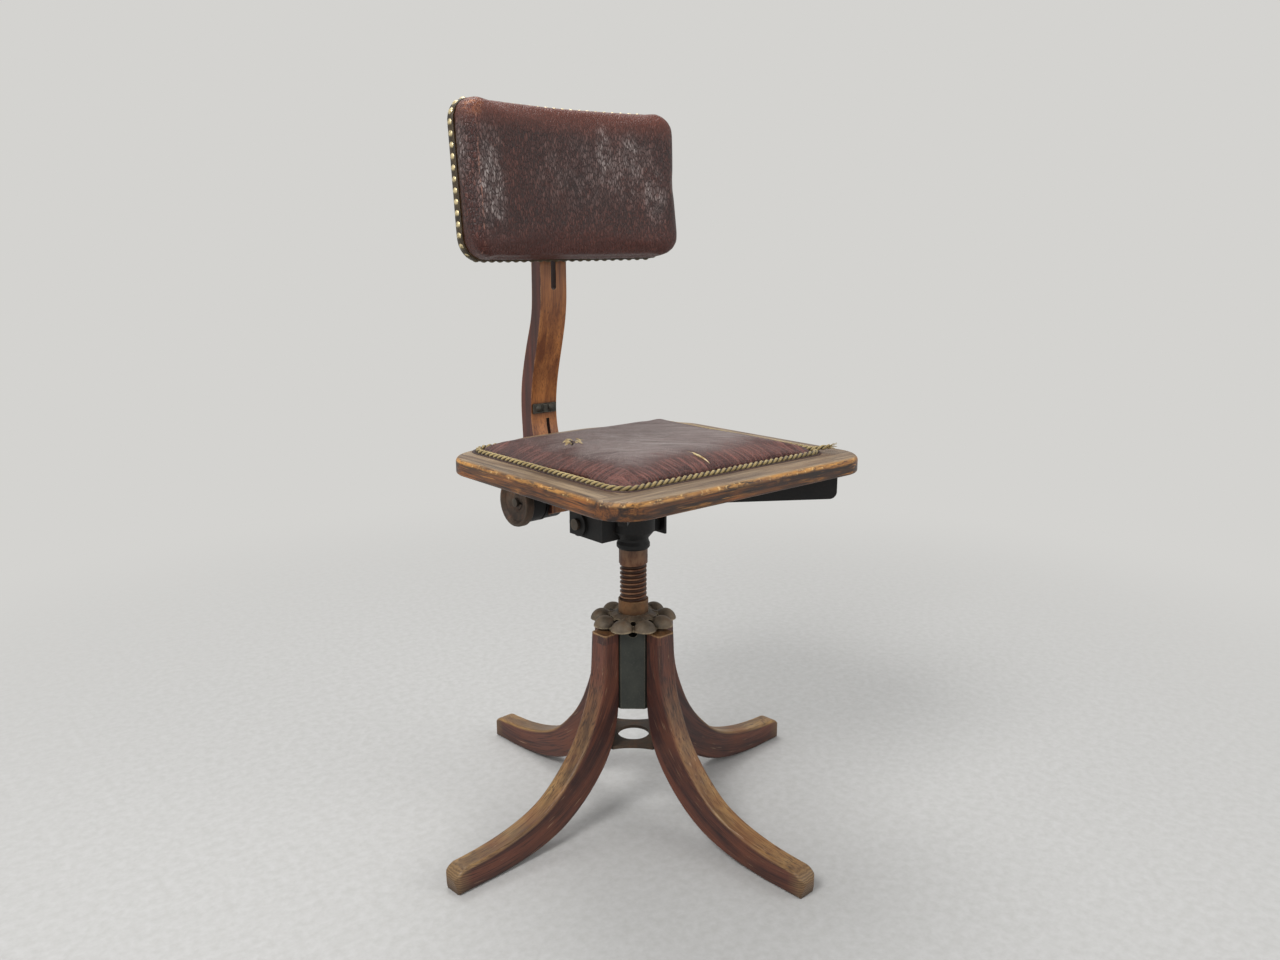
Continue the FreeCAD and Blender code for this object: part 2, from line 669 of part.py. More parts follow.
cup_groove = cut("cup_groove",
                 rod("cup_rim + 2", "2.4", cup_low + " + cup_long - 6", "axis_y", "axis_z", "X"),
                 rod("cup_rim - 1.6", "6", cup_low + " + cup_long - 8", "axis_y", "axis_z", "X"))
cup_bore = rod("bolt_rim + run", "80", knob_low, "axis_y", "axis_z", "X")
keep("clamp_cup", cut("clamp_cup", rod("cup_rim", "cup_long", cup_low, "axis_y", "axis_z", "X"),
                      fuse(tag("cup_cutter"), [cup_bore, cup_groove])))

knob_x = -V["post_half"] - 2 * V["side_gap"] - V["cup_long"] - V["knob_thick"]
knob_r = V["knob_rim"]
dish = V["knob_dish"]
knob_bore = V["bolt_rim"] + V["run"]
knob_points = [(knob_bore, dish - 1.5), (9.5, dish - 1.5), (10.5, dish), (15, dish + 1.0),
               (knob_r - 7, dish - 2.0), (knob_r - 4.2, 0.6), (knob_r - 2.4, 0.0),
               (knob_r - 0.7, 0.8), (knob_r, 3.0),
               (knob_r, V["knob_thick"] - 2.5), (knob_r - 2, V["knob_thick"]), (knob_bore, V["knob_thick"])]
knob_round = [Vector(knob_x + b, V["axis_y"] + a, V["axis_z"]) for a, b in knob_points + knob_points[:1]]
knob_wire = Part.makePolygon(knob_round)
knob_solid = Part.Face(knob_wire).revolve(Vector(0, V["axis_y"], V["axis_z"]), Vector(1, 0, 0), 360)
slot_tool = Part.makeBox(3.5, 20, 2.6, Vector(knob_x + dish - 3, V["axis_y"] - 10, V["axis_z"] - 1.3))
keep("clamp_knob", cut("clamp_knob", fixed("knob_turned", knob_solid), fixed("knob_slot", slot_tool)))

# Seat frame, board, crowned leather pad and braid
outline = rounded([
    (-V["seat_half"], -V["seat_front"], V["front_corner"]),
    (V["seat_half"], -V["seat_front"], V["front_corner"]),
    (V["seat_rear_half"], V["seat_rear_corner"], V["rear_corner"]),
    (V["seat_bow_half"], V["seat_rear_bow"], V["bow_corner"]),
    (-V["seat_bow_half"], V["seat_rear_bow"], V["bow_corner"]),
    (-V["seat_rear_half"], V["seat_rear_corner"], V["rear_corner"])])
frame, frame_pad, frame_sketch = body("frame", "XY", outline, "seat_thick", lift="seat_top - seat_thick")
doc.recompute()
rim_names = []
for i, edge in enumerate(frame_pad.Shape.Edges):
    if abs(edge.CenterOfMass.z - V["seat_top"]) < 0.01:
        rim_names.append("Edge%d" % (i + 1))
softened = frame.newObject("PartDesign::Fillet", "frame_round")
softened.Base = (frame_pad, rim_names)
bind(softened, {"Radius": "edge_round"})
frame.Tip = softened
doc.recompute()
low_names = [("Edge%d" % (i + 1)) for i, edge in enumerate(softened.Shape.Edges)
             if abs(edge.CenterOfMass.z - seat_low) < 0.01]
lower = frame.newObject("PartDesign::Fillet", "frame_lower_round")
lower.Base = (softened, low_names)
lower.Radius = 3.0
frame.Tip = lower


def panel_corners(inset):
    half = V["panel_half"] - inset
    round_r = V["panel_corner"] - min(inset, 9.0) * 0.6 + max(inset - 9.0, 0.0) * 0.3
    return [(-half, -V["panel_front"] + inset, round_r), (half, -V["panel_front"] + inset, round_r),
            (half - 3, V["panel_rear"] - inset, round_r), (-half + 3, V["panel_rear"] - inset, round_r)]


opening, opening_pad, opening_sketch = body("opening", "XY", rounded(panel_corners(0)), "seat_thick + 10",
                                            lift="seat_top - seat_thick - 5")
open_frame = cut("open_frame", frame, fuse(tag("frame_cutter"), [opening, hole_set]))
wide = "2 * seat_half + 20"
rail_boxes = {
    "front_rail": ("-seat_half - 10", "-seat_front - 10", wide, "seat_front + 10 - panel_front"),
    "rear_rail": ("-seat_half - 10", "panel_rear", wide, "seat_rear_bow + 20 - panel_rear"),
    "left_rail": ("0", "-panel_front", "seat_half + 10", "panel_front + panel_rear"),
    "right_rail": ("-seat_half - 10", "-panel_front", "seat_half + 10", "panel_front + panel_rear")}
for label, (x, y, dx, dy) in rail_boxes.items():
    block = box(x, y, "seat_top - seat_thick - 5", dx, dy, "seat_thick + 10")
    keep(label, common(label, open_frame, block))

board, board_pad, board_sketch = body("board", "XY", rounded(panel_corners(0.1)), "board_thick",
                                      lift="seat_top - board_sink - board_thick")
keep("seat_board", cut("seat_board", board, hole_set))

pad_low = V["seat_top"] - V["board_sink"] + V["soft_gap"]


def pad_ring(inset, height):
    shape = Part.Wire([e.toShape() for e in rounded(panel_corners(V["pad_inset"] + inset))])
    shape.translate(Vector(0, 0, height))
    return shape


crown_steps = [(0.0, 0.0), (0.0, 2.2), (6.0, 6.6), (16.0, 11.2), (32.0, 15.0), (56.0, 17.8),
               (84.0, V["pad_crown"])]
rings = [pad_ring(inset, pad_low + height) for inset, height in crown_steps]
layers = []
for below, above in zip(rings, rings[1:]):
    layers.append(Part.makeLoft([below, above], True, True))
cushion = layers[0]
for layer in layers[1:]:
    cushion = cushion.fuse(layer)
keep("seat_pad", fixed("seat_pad", cushion.removeSplitter()))

braid_path = Part.Wire([e.toShape() for e in rounded(panel_corners(V["braid_inset"]))])
braid_path.translate(Vector(0, 0, pad_low + V["braid_rim"]))
first = braid_path.OrderedEdges[0]
start = first.valueAt(first.FirstParameter)
heading = first.tangentAt(first.FirstParameter)
section = Part.Wire([Part.Circle(start, heading, V["braid_rim"]).toShape()])
braid = braid_path.makePipeShell([section], True, False)
keep("seat_braid", fixed("seat_braid", braid))

# Back post: S-curved oak, slotted at both ends
front_line = [(153, 744), (153, 700), (153, 662), (153.5, 624), (159, 590), (168, 555), (176, 520),
              (179, 492), (178, 470), (172, 446), (157, 412), (142, 385), (137, 370)]
rear_line = [(188, 356), (193, 372), (197, 400), (199, 449), (201, 485), (200, 513), (193.5, 546), (183, 581),
             (175, 607), (172, 641), (172, 690), (172, 744)]
post_edges = [curve(front_line), Part.LineSegment(Vector(137, 370, 0), Vector(137, 358, 0)),
              Part.LineSegment(Vector(137, 358, 0), Vector(160, 350, 0)),
              Part.LineSegment(Vector(160, 350, 0), Vector(188, 356, 0)), curve(rear_line),
              Part.LineSegment(Vector(172, 744, 0), Vector(165, 750, 0)),
              Part.LineSegment(Vector(165, 750, 0), Vector(153, 744, 0))]
post, post_pad, post_sketch = body("post", "YZ", post_edges, "2 * post_half", both=True)
post_cutters = [
    box("-slot_half", "140", "slot_bottom", "2 * slot_half", "60", "200"),
    rod("slot_half", "60", "0", "140", "slot_bottom", "Y"),
    box("tongue_mid - slit_wide / 2", "100", "300", "slit_wide", "140", "slit_top - 300"),
    rod("barrel_rim + barrel_gap", "40 + tongue_mid - slit_wide / 2", "-40", "axis_y", "axis_z", "X"),
    box("-40", "axis_y", "300", "40 + tongue_mid - slit_wide / 2", "60", "axis_z - 300"),
    box("-40", "axis_y - 24", "300", "40 + tongue_mid - slit_wide / 2", "60", "axis_z - 300"),
    rod("bolt_rim + run", "60", "0", "axis_y", "axis_z", "X"),
    rod("pivot_rim", "60", "-30", "pivot_y", "pivot_z", "X")]
for side in (-1, 1):
    post_cutters.append(rod("2", "8", "%d * rivet_reach" % side, "176", "strap_z", "Y"))
keep("back_post", cut("back_post", post, fuse(tag("post_cutter"), post_cutters)))

strap_y = 179.2
strap = box("-strap_half", "%.2f - strap_sheet" % (strap_y - 0.35), "strap_z - strap_high / 2",
            "2 * strap_half", "strap_sheet", "strap_high")
hump = rod("3.4", "strap_high - 2", "0", "%.2f - strap_sheet" % strap_y, "strap_z - strap_high / 2 + 1")
strap_holes = [rod("2", "12", "%d * rivet_reach" % side, "170", "strap_z", "Y") for side in (-1, 1)]
strap_back = box("-strap_half", "%.2f" % (strap_y - 0.35), "strap_z - strap_high", "2 * strap_half", "20",
                 "2 * strap_high")
strap_cutter = fuse(tag("strap_cutter"), strap_holes + [strap_back])
keep("post_strap", cut("post_strap", fuse("strap_whole", [strap, hump]), strap_cutter))
rivets = []
for side in (-1, 1):
    face = strap_y - 0.35 - V["strap_sheet"]
    dome = Part.makeSphere(V["rivet_rim"] * 1.25, Vector(side * V["rivet_reach"], face + 2.6, V["strap_z"]))
    keep_front = Part.makeBox(20, 20, 20, Vector(side * V["rivet_reach"] - 10, face - 20, V["strap_z"] - 10))
    stem = Part.makeCylinder(2.0, 7.0, Vector(side * V["rivet_reach"], face, V["strap_z"]), Vector(0, 1, 0))
    rivets.append(fixed("rivet", dome.common(keep_front).fuse(stem)))
keep("strap_rivets", group("strap_rivets", rivets))
keep("pivot_bolt", fuse("pivot_bolt", [
    rod("pivot_rim", "2 * post_half", "-post_half", "pivot_y", "pivot_z", "X"),
    rod("8", "4", "-post_half - 4", "pivot_y", "pivot_z", "X"),
    rod("7.5", "5", "post_half", "pivot_y", "pivot_z", "X")]))

# Backrest: bent board, leather pad and panel, round nails and pivot bracket
lean = Rotation(Vector(1, 0, 0), -V["rest_lean"])
pivot = Vector(0, V["pivot_y"], V["pivot_z"])
leaned = Placement(pivot, lean).multiply(Placement(pivot * -1, Rotation()))
half = V["rest_half"]
sag = V["rest_sag"]
bend_r = (half * half + sag * sag) / (2 * sag)
bend_y = V["rest_rear"] - bend_r


def bend(x, depth):
    """Y of the surface that lies depth in front of the rear one."""
    return bend_y + math.sqrt((bend_r - depth) ** 2 - x * x)


def slab(front, back, low, high, inset=0.0):
    """Curved slab between two depths, with rounded corners seen from the front."""
    side = half - inset
    past = side + 6.0
    below = low - 4.0
    pts = [Vector(x, bend(x, back), below) for x in (-past, 0, past)]
    pts += [Vector(x, bend(x, front), below) for x in (past, 0, -past)]
    plan = Part.Wire([Part.Arc(pts[0], pts[1], pts[2]).toShape(), Part.makeLine(pts[2], pts[3]),
                      Part.Arc(pts[3], pts[4], pts[5]).toShape(), Part.makeLine(pts[5], pts[0])])
    block = Part.Face(plan).extrude(Vector(0, 0, high - low + 8.0))
    edges = rounded([(-side, low, V["rest_corner"] - inset), (side, low, V["rest_corner"] - inset),
                     (side, high, V["rest_corner"] - inset), (-side, high, V["rest_corner"] - inset)])
    face = Part.Face(Part.Wire([e.toShape() for e in edges]))
    face = face.rotated(Vector(0, 0, 0), Vector(1, 0, 0), 90)
    window = face.extrude(Vector(0, 600, 0))
    window.translate(Vector(0, -100, 0))
    return block.common(window)


def lean_back(shape):
    turned = shape.copy()
    turned.Placement = leaned.multiply(turned.Placement)
    return turned


low, high = V["rest_low"], V["rest_high"]
board_front = V["rest_board"]
rest_board = slab(board_front, 0.0, low + 1, high - 1, 1.0)


def rest_path():
    """Points and outward directions round the rest at the nail pitch."""
    edges = rounded([(-half + 1, low + 1, 27), (half - 1, low + 1, 27), (half - 1, high - 1, 27),
                     (-half + 1, high - 1, 27)])
    wire = Part.Wire([e.toShape() for e in edges])
    count = int(round(wire.Length / V["nail_pitch"]))
    spots = []
    for point in wire.discretize(count + 1)[:-1]:
        centre = Vector(max(-half + 28, min(half - 28, point.x)), max(low + 28, min(high - 28, point.y)), 0)
        out = Vector(point.x, point.y, 0) - centre
        out.normalize()
        spots.append((point.x, point.y, out.x, out.y))
    return spots


nails = []
nail_holes = []
for x, z, out_x, out_z in rest_path():
    out = Vector(out_x, 0, out_z)
    seat = Vector(x, bend(x, board_front / 2), z)
    big = (V["nail_rim"] ** 2 + V["nail_rise"] ** 2) / (2 * V["nail_rise"])
    ball = Part.makeSphere(big, seat - out * (big - V["nail_rise"]))
    cap = Part.makeCylinder(V["nail_rim"], V["nail_rise"] + 1, seat, out)
    nails.append(ball.common(cap).fuse(Part.makeCylinder(V["nail_shank"], V["nail_deep"], seat, out * -1)))
    nail_holes.append(Part.makeCylinder(V["nail_shank"], V["nail_deep"] + 0.5, seat + out * 0.5, out * -1))
bracket_low = V["pivot_z"] - 24
screw_spots = [(side * 18, V["pivot_z"] + lift) for side in (-1, 1) for lift in (-16, 16)]
for x, z in screw_spots:
    nail_holes.append(Part.makeCylinder(1.8, 12, Vector(x, V["rest_rear"] - 8, z), Vector(0, 1, 0)))
rest_board = rest_board.cut(Part.makeCompound(nail_holes))
keep("backrest_board", fixed("backrest_board", lean_back(rest_board)))
keep("backrest_nails", group("backrest_nails", [fixed("nail", lean_back(n)) for n in nails]))

pad_front = board_front + V["soft_gap"] + V["rest_pad"]
rest_pad = slab(pad_front, board_front + V["soft_gap"], low, high)
brow = [e for e in rest_pad.Edges if e.Length > 20 and
        abs(e.valueAt((e.FirstParameter + e.LastParameter) / 2).y -
            bend(e.valueAt((e.FirstParameter + e.LastParameter) / 2).x, pad_front)) < 0.5]
rest_pad = rest_pad.makeFillet(11.0, brow)
keep("backrest_pad", fixed("backrest_pad", lean_back(rest_pad)))

border = V["panel_border"]
rest_panel = slab(-0.1, -V["rest_panel"], low + border, high - border, border)
screw_clear = Part.makeCompound([
    Part.makeCylinder(1.85, 14, Vector(x, V["rest_rear"] - 8, z), Vector(0, 1, 0)) for x, z in screw_spots])
plate_half = V["bracket_half"]
plate_tool = Part.makeBox(2 * plate_half + 1, 40, 52,
                          Vector(-plate_half - 0.5, V["rest_rear"] - 20, bracket_low - 2))
rest_panel = rest_panel.cut(plate_tool)
keep("backrest_panel", fixed("backrest_panel", lean_back(rest_panel)))

plate = slab(-0.05, -V["bracket_thick"], low, high).common(
    Part.makeBox(2 * plate_half, 60, 48, Vector(-plate_half, V["rest_rear"] - 30, bracket_low)))
ear = V["bracket_tongue"]
blade = Part.makeBox(ear, 24, 36, Vector(-ear / 2, V["rest_rear"] + 1, V["pivot_z"] - 18))
blade = blade.fuse(Part.makeCylinder(12, ear, Vector(-ear / 2, V["pivot_y"], V["pivot_z"]), Vector(1, 0, 0)))
past = Part.makeBox(ear + 2, 30, 60, Vector(-ear / 2 - 1, V["pivot_y"], V["pivot_z"] - 30)).cut(
    Part.makeCylinder(12, ear + 4, Vector(-ear / 2 - 2, V["pivot_y"], V["pivot_z"]), Vector(1, 0, 0)))
blade = blade.cut(past)
bracket = plate.fuse(blade)
pivot_bore = Part.makeCylinder(V["pivot_rim"] + V["run"], 20, Vector(-10, V["pivot_y"], V["pivot_z"]),
                               Vector(1, 0, 0))
bracket = bracket.cut(pivot_bore)
bracket = bracket.cut(screw_clear)
head_seats = Part.makeCompound([
    Part.makeCylinder(3.7, 6, Vector(x, bend(x, -V["bracket_thick"]), z), Vector(0, 1, 0))
    for x, z in screw_spots])
bracket = bracket.cut(head_seats)
keep("rest_bracket", fixed("rest_bracket", lean_back(bracket)))
rest_screws = []
for x, z in screw_spots:
    face = bend(x, -V["bracket_thick"])
    head = Part.makeCone(3.6, 2.4, 1.6, Vector(x, face, z), Vector(0, 1, 0))
    stem = Part.makeCylinder(1.8, 9.0, Vector(x, face, z), Vector(0, -1, 0))
    rest_screws.append(fixed("rest_screw", lean_back(head.fuse(stem))))
keep("rest_screws", group("rest_screws", rest_screws))

doc.recompute()

# Check and write each piece
for obj in doc.Objects:
    state = " ".join(str(s) for s in obj.State)
    if "Invalid" in state or "Error" in state:
        raise RuntimeError("piece %s is not built: %s" % (obj.Label, state))
os.makedirs("parts", exist_ok=True)
for label, obj in made:
    shape = obj.Shape
    if shape.isNull() or not shape.isValid() or not shape.Solids:
        raise RuntimeError("shape of %s is not sound" % label)
    shape.exportStep("parts/%s.step" % label)
    box_now = shape.optimalBoundingBox()
    print("%-16s solids %3d  volume %10.0f  x %7.1f %7.1f  y %7.1f %7.1f  z %7.1f %7.1f" % (
        label, len(shape.Solids), shape.Volume, box_now.XMin, box_now.XMax, box_now.YMin, box_now.YMax,
        box_now.ZMin, box_now.ZMax))
print("pieces", len(made))
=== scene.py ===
import math
import random

import bmesh
import bpy
from mathutils import Matrix, Vector, noise


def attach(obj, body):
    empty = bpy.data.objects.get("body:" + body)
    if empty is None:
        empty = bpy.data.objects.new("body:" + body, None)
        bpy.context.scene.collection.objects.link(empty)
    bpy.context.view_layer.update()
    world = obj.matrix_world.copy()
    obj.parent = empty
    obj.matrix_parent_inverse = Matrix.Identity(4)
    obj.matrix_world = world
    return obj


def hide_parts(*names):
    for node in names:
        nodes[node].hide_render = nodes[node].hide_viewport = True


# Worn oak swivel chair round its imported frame. Metres, +Z up, the sitter faces -Y.

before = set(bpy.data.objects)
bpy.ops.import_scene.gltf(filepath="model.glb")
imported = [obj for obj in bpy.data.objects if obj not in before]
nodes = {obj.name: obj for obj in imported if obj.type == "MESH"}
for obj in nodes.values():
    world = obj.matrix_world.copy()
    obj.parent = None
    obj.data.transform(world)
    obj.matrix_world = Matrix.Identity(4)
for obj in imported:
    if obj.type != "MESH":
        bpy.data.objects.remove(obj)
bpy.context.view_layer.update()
scene = bpy.context.scene

# Camera at the photograph's viewing angle
CAMERA_AT = (-0.8047, -0.9413, 0.7033)
CAMERA_TURN = (math.radians(77.239), 0.0, math.radians(-40.904))
LENS = 29.915

camera_data = bpy.data.cameras.new("camera")
camera_data.sensor_width = 36.0
camera_data.sensor_fit = "HORIZONTAL"
camera_data.lens = LENS
camera_data.clip_start = 0.01
camera_data.clip_end = 100.0
camera = bpy.data.objects.new("camera", camera_data)
camera.location = CAMERA_AT
camera.rotation_euler = CAMERA_TURN
scene.collection.objects.link(camera)
scene.camera = camera

# Sizes that follow the frame
SEAT_TOP = 0.460
BOARD_TOP = 0.4592
PANEL = {"half": 0.158, "front": -0.166, "rear": 0.122, "taper": 0.003, "corner": 0.024}
LEG_TURN = 3.1
LEG_BEND = {"out": 0.232, "up": 0.232, "radius": 0.21}
THREAD_ROOT, THREAD_RIM, THREAD_CREST = 0.0148, 0.0161, 0.01633
REST_PIVOT = Vector((0.0, 0.163, 0.724))
REST_LEAN = math.radians(-5.0)
REST = {"half": 0.155, "low": 0.675, "high": 0.855, "corner": 0.028, "rear": 0.143, "sag": 0.017,
        "board": 0.009, "pad": 0.031}
REST_MIDDLE = (REST["low"] + REST["high"]) / 2


def srgb(r, g, b):
    """Colour written as 0-255 screen values, as the linear colour that shaders use."""
    def line(c):
        c = c / 255.0
        return c / 12.92 if c <= 0.04045 else ((c + 0.055) / 1.055) ** 2.4
    return (line(r), line(g), line(b), 1.0)


# Shader building
class Shader:
    """One procedural material, built a node at a time. Inputs are values or sockets."""

    def __init__(self, name):
        self.material = bpy.data.materials.new(name)
        self.material.use_nodes = True
        self.tree = self.material.node_tree
        self.bsdf = self.tree.nodes["Principled BSDF"]
        self._spot = None

    def plug(self, socket, value):
        """Link a socket to an input, or set the input's value."""
        if isinstance(value, bpy.types.NodeSocket):
            self.tree.links.new(value, socket)
        elif value is not None:
            socket.default_value = value

    def node(self, kind, out=0, props=None, **inputs):
        """Add a node and give back one output. Inputs go by name, or as i0, i1 and so on by place."""
        made = self.tree.nodes.new(kind)
        for key, value in (props or {}).items():
            setattr(made, key, value)
        for key, value in inputs.items():
            key = int(key[1:]) if key[0] == "i" and key[1:].isdigit() else key.replace("_", " ")
            self.plug(made.inputs[key], value)
        return made.outputs[out]

    def spot(self):
        """Place on the object."""
        if self._spot is None:
            self._spot = self.node("ShaderNodeTexCoord", out="Object")
        return self._spot

    def axes(self, vector=None):
        made = self.tree.nodes.new("ShaderNodeSeparateXYZ")
        self.plug(made.inputs[0], vector if vector is not None else self.spot())
        return made.outputs[0], made.outputs[1], made.outputs[2]

    def vector(self, x, y, z):
        return self.node("ShaderNodeCombineXYZ", i0=x, i1=y, i2=z)

    def calc(self, op, a, b=0.0):
        return self.node("ShaderNodeMath", props={"operation": op}, i0=a, i1=b)

    def times(self, first, *others):
        for other in others:
            first = self.calc("MULTIPLY", first, other)
        return first

    def plus(self, first, *others):
        for other in others:
            first = self.calc("ADD", first, other)
        return first

    def scaled(self, vector, scale, move=(0, 0, 0)):
        return self.node("ShaderNodeMapping", i0=vector, Scale=scale, Location=move)

    def noise(self, vector, scale=1.0, detail=4.0, rough=0.5, bend=0.0):
        return self.node("ShaderNodeTexNoise", Vector=vector, Scale=scale, Detail=detail, Roughness=rough,
                         Distortion=bend)

    def cells(self, vector, scale=1.0):
        """Distance to the nearest border between random cells."""
        return self.node("ShaderNodeTexVoronoi", props={"feature": "DISTANCE_TO_EDGE"}, Vector=vector,
                         Scale=scale)

    def span(self, value, low, high, to_low=0.0, to_high=1.0, smooth=False):
        """Value from low to high, mapped to a share and held at its ends."""
        kind = "SMOOTHSTEP" if smooth else "LINEAR"
        return self.node("ShaderNodeMapRange", props={"interpolation_type": kind}, i0=value, i1=low, i2=high,
                         i3=to_low, i4=to_high)

    def patches(self, scale, detail, rough, low, high, to_low=0.0, to_high=1.0):
        """Soft spots of noise over the object, as a share."""
        return self.span(self.noise(self.spot(), scale, detail, rough), low, high, to_low, to_high)

    def mix(self, share, a, b):
        made = self.tree.nodes.new("ShaderNodeMix")
        made.data_type = "RGBA"
        self.plug(made.inputs[0], share)
        self.plug(made.inputs[6], a)
        self.plug(made.inputs[7], b)
        return made.outputs[2]

    def tint(self, color, tone, *shares):
        """Colour moved toward a tone, in screen values, by the product of the shares."""
        return self.mix(self.times(*shares), color, srgb(*tone))

    def edge(self, radius, low=0.015, high=0.12):
        """1 on worn edges, 0 on flats."""
        soft = self.node("ShaderNodeBevel", props={"samples": 6}, Radius=radius)
        flat = self.node("ShaderNodeNewGeometry", out="Normal")
        near = self.node("ShaderNodeVectorMath", out="Value", props={"operation": "DOT_PRODUCT"},
                         i0=soft, i1=flat)
        return self.span(self.calc("SUBTRACT", 1.0, near), low, high)

    def facing(self, axis):
        """How much the surface faces along +X, +Y or +Z: axis 0, 1 or 2."""
        return self.axes(self.node("ShaderNodeNewGeometry", out="Normal"))[axis]

    def hollow_shade(self, reach, low=0.35, high=0.95):
        """1 in corners and valleys, 0 in the open, from ambient occlusion: the mask for painted shade."""
        open_share = self.node("ShaderNodeAmbientOcclusion", out="AO", props={"samples": 6}, Distance=reach)
        return self.span(open_share, low, high, 1.0, 0.0)

    def bump(self, height, strength, distance):
        return self.node("ShaderNodeBump", Strength=strength, Distance=distance, Height=height)

    def finish(self, color, rough, normal=None, metal=0.0, **fixed):
        """Fill the surface and give back the material."""
        self.plug(self.bsdf.inputs["Base Color"], color)
        self.plug(self.bsdf.inputs["Roughness"], rough)
        self.plug(self.bsdf.inputs["Metallic"], metal)
        if normal is not None:
            self.plug(self.bsdf.inputs["Normal"], normal)
        for key, value in fixed.items():
            self.bsdf.inputs[key.replace("_", " ")].default_value = value
        return self.material


def paint(material, *names):
    """Give CAD nodes one material."""
    for name in names:
        mesh = nodes[name].data
        mesh.materials.clear()
        mesh.materials.append(material)


# Woods
def grain_lines(s, along, scale=(6.0, 160.0, 160.0), move=0.0):
    """Wood figure in a vector whose first axis runs along the grain: broad bands and fine pores."""
    bands = s.noise(s.scaled(along, (scale[0] * 0.6, scale[1] * 0.35, scale[2] * 0.35), (move, move, move)),
                    1.0, 3.0, 0.55, 0.3)
    pores = s.noise(s.scaled(along, (scale[0] * 3.0, scale[1] * 4.0, scale[2] * 4.0), (move, 2.0, move)),
                    1.0, 3.0, 0.6)
    return bands, pores


def leg_material():
    """Legs: dark red-brown wood, painted light making the upward faces golden olive, worn bright edges and
    raw wood at the tips.
    """
    s = Shader("leg_wood")
    level = s.node("ShaderNodeVectorRotate", props={"rotation_type": "Z_AXIS"}, Vector=s.spot(),
                   Angle=math.radians(-LEG_TURN))
    x, y, z = s.axes(level)
    along_x = s.calc("GREATER_THAN", s.calc("ABSOLUTE", x), s.calc("ABSOLUTE", y))
    lead = s.plus(s.times(x, along_x), s.times(y, s.calc("SUBTRACT", 1.0, along_x)))
    side = s.calc("SUBTRACT", s.plus(x, y), lead)
    out = s.calc("ABSOLUTE", lead)
    which = s.plus(s.times(along_x, 3.7), s.calc("SIGN", lead))
    dx = s.calc("SUBTRACT", out, LEG_BEND["out"])
    dz = s.calc("SUBTRACT", z, LEG_BEND["up"])
    ring = s.calc("SQRT", s.plus(s.times(dx, dx), s.times(dz, dz)))
    sweep = s.times(s.calc("ARCTAN2", dz, dx), LEG_BEND["radius"])
    along = s.vector(s.plus(sweep, which), ring, side)
    bands, pores = grain_lines(s, along, (7.0, 190.0, 190.0))
    blotch = s.noise(s.spot(), 17.0, 4.0, 0.6)
    flank = s.mix(s.span(bands, 0.38, 0.62), srgb(58, 30, 26), srgb(104, 58, 42))
    flank = s.tint(flank, (30, 16, 14), s.span(pores, 0.5, 0.66))
    flank = s.tint(flank, (108, 62, 40), s.span(blotch, 0.5, 0.75, 0.0, 0.55))
    top = s.mix(s.span(bands, 0.38, 0.62), srgb(106, 78, 46), srgb(164, 128, 78))
    top = s.tint(top, (66, 44, 28), s.span(pores, 0.48, 0.66))
    top = s.tint(top, (120, 70, 38), s.span(blotch, 0.45, 0.7, 0.0, 0.6))
    # Upward faces take the lighter golden top colour, fully near the floor and about half higher up: painted
    # light from above over the dark flank wood.
    lying = s.span(z, 0.055, 0.15, 1.0, 0.45)
    color = s.mix(s.times(s.span(s.facing(2), 0.1, 0.5), lying), flank, top)
    wear = s.times(s.edge(0.004, 0.02, 0.1), s.patches(60.0, 5.0, 0.7, 0.38, 0.62))
    color = s.tint(color, (196, 156, 108), wear, 0.95)
    tip = s.times(s.span(out, 0.258, 0.276), s.span(z, 0.045, 0.03))
    rings = s.node("ShaderNodeTexWave", out="Fac", props={"bands_direction": "Y", "wave_type": "BANDS"},
                   Vector=s.vector(0.0, ring, side), Scale=120.0, Distortion=6.0, Detail=4.0)
    raw = s.mix(s.span(rings, 0.2, 0.9), srgb(96, 72, 48), srgb(144, 114, 76))
    raw = s.tint(raw, (92, 76, 56), s.span(blotch, 0.4, 0.7, 0.0, 0.6))
    color = s.mix(s.times(tip, 0.8), color, raw)
    color = s.tint(color, (40, 28, 22), s.span(z, 0.012, 0.0), 0.6)
    scratch = s.times(s.span(s.noise(s.scaled(along, (30.0, 700.0, 700.0)), 1.0, 2.0, 0.5), 0.66, 0.72),
                      s.span(blotch, 0.45, 0.6))
    color = s.tint(color, (190, 160, 128), scratch, 0.5)
    height = s.plus(s.times(pores, 0.6), s.times(bands, 0.5))
    rough = s.span(blotch, 0.3, 0.7, 0.38, 0.56)
    return s.finish(color, rough, s.bump(height, 0.5, 0.0009))


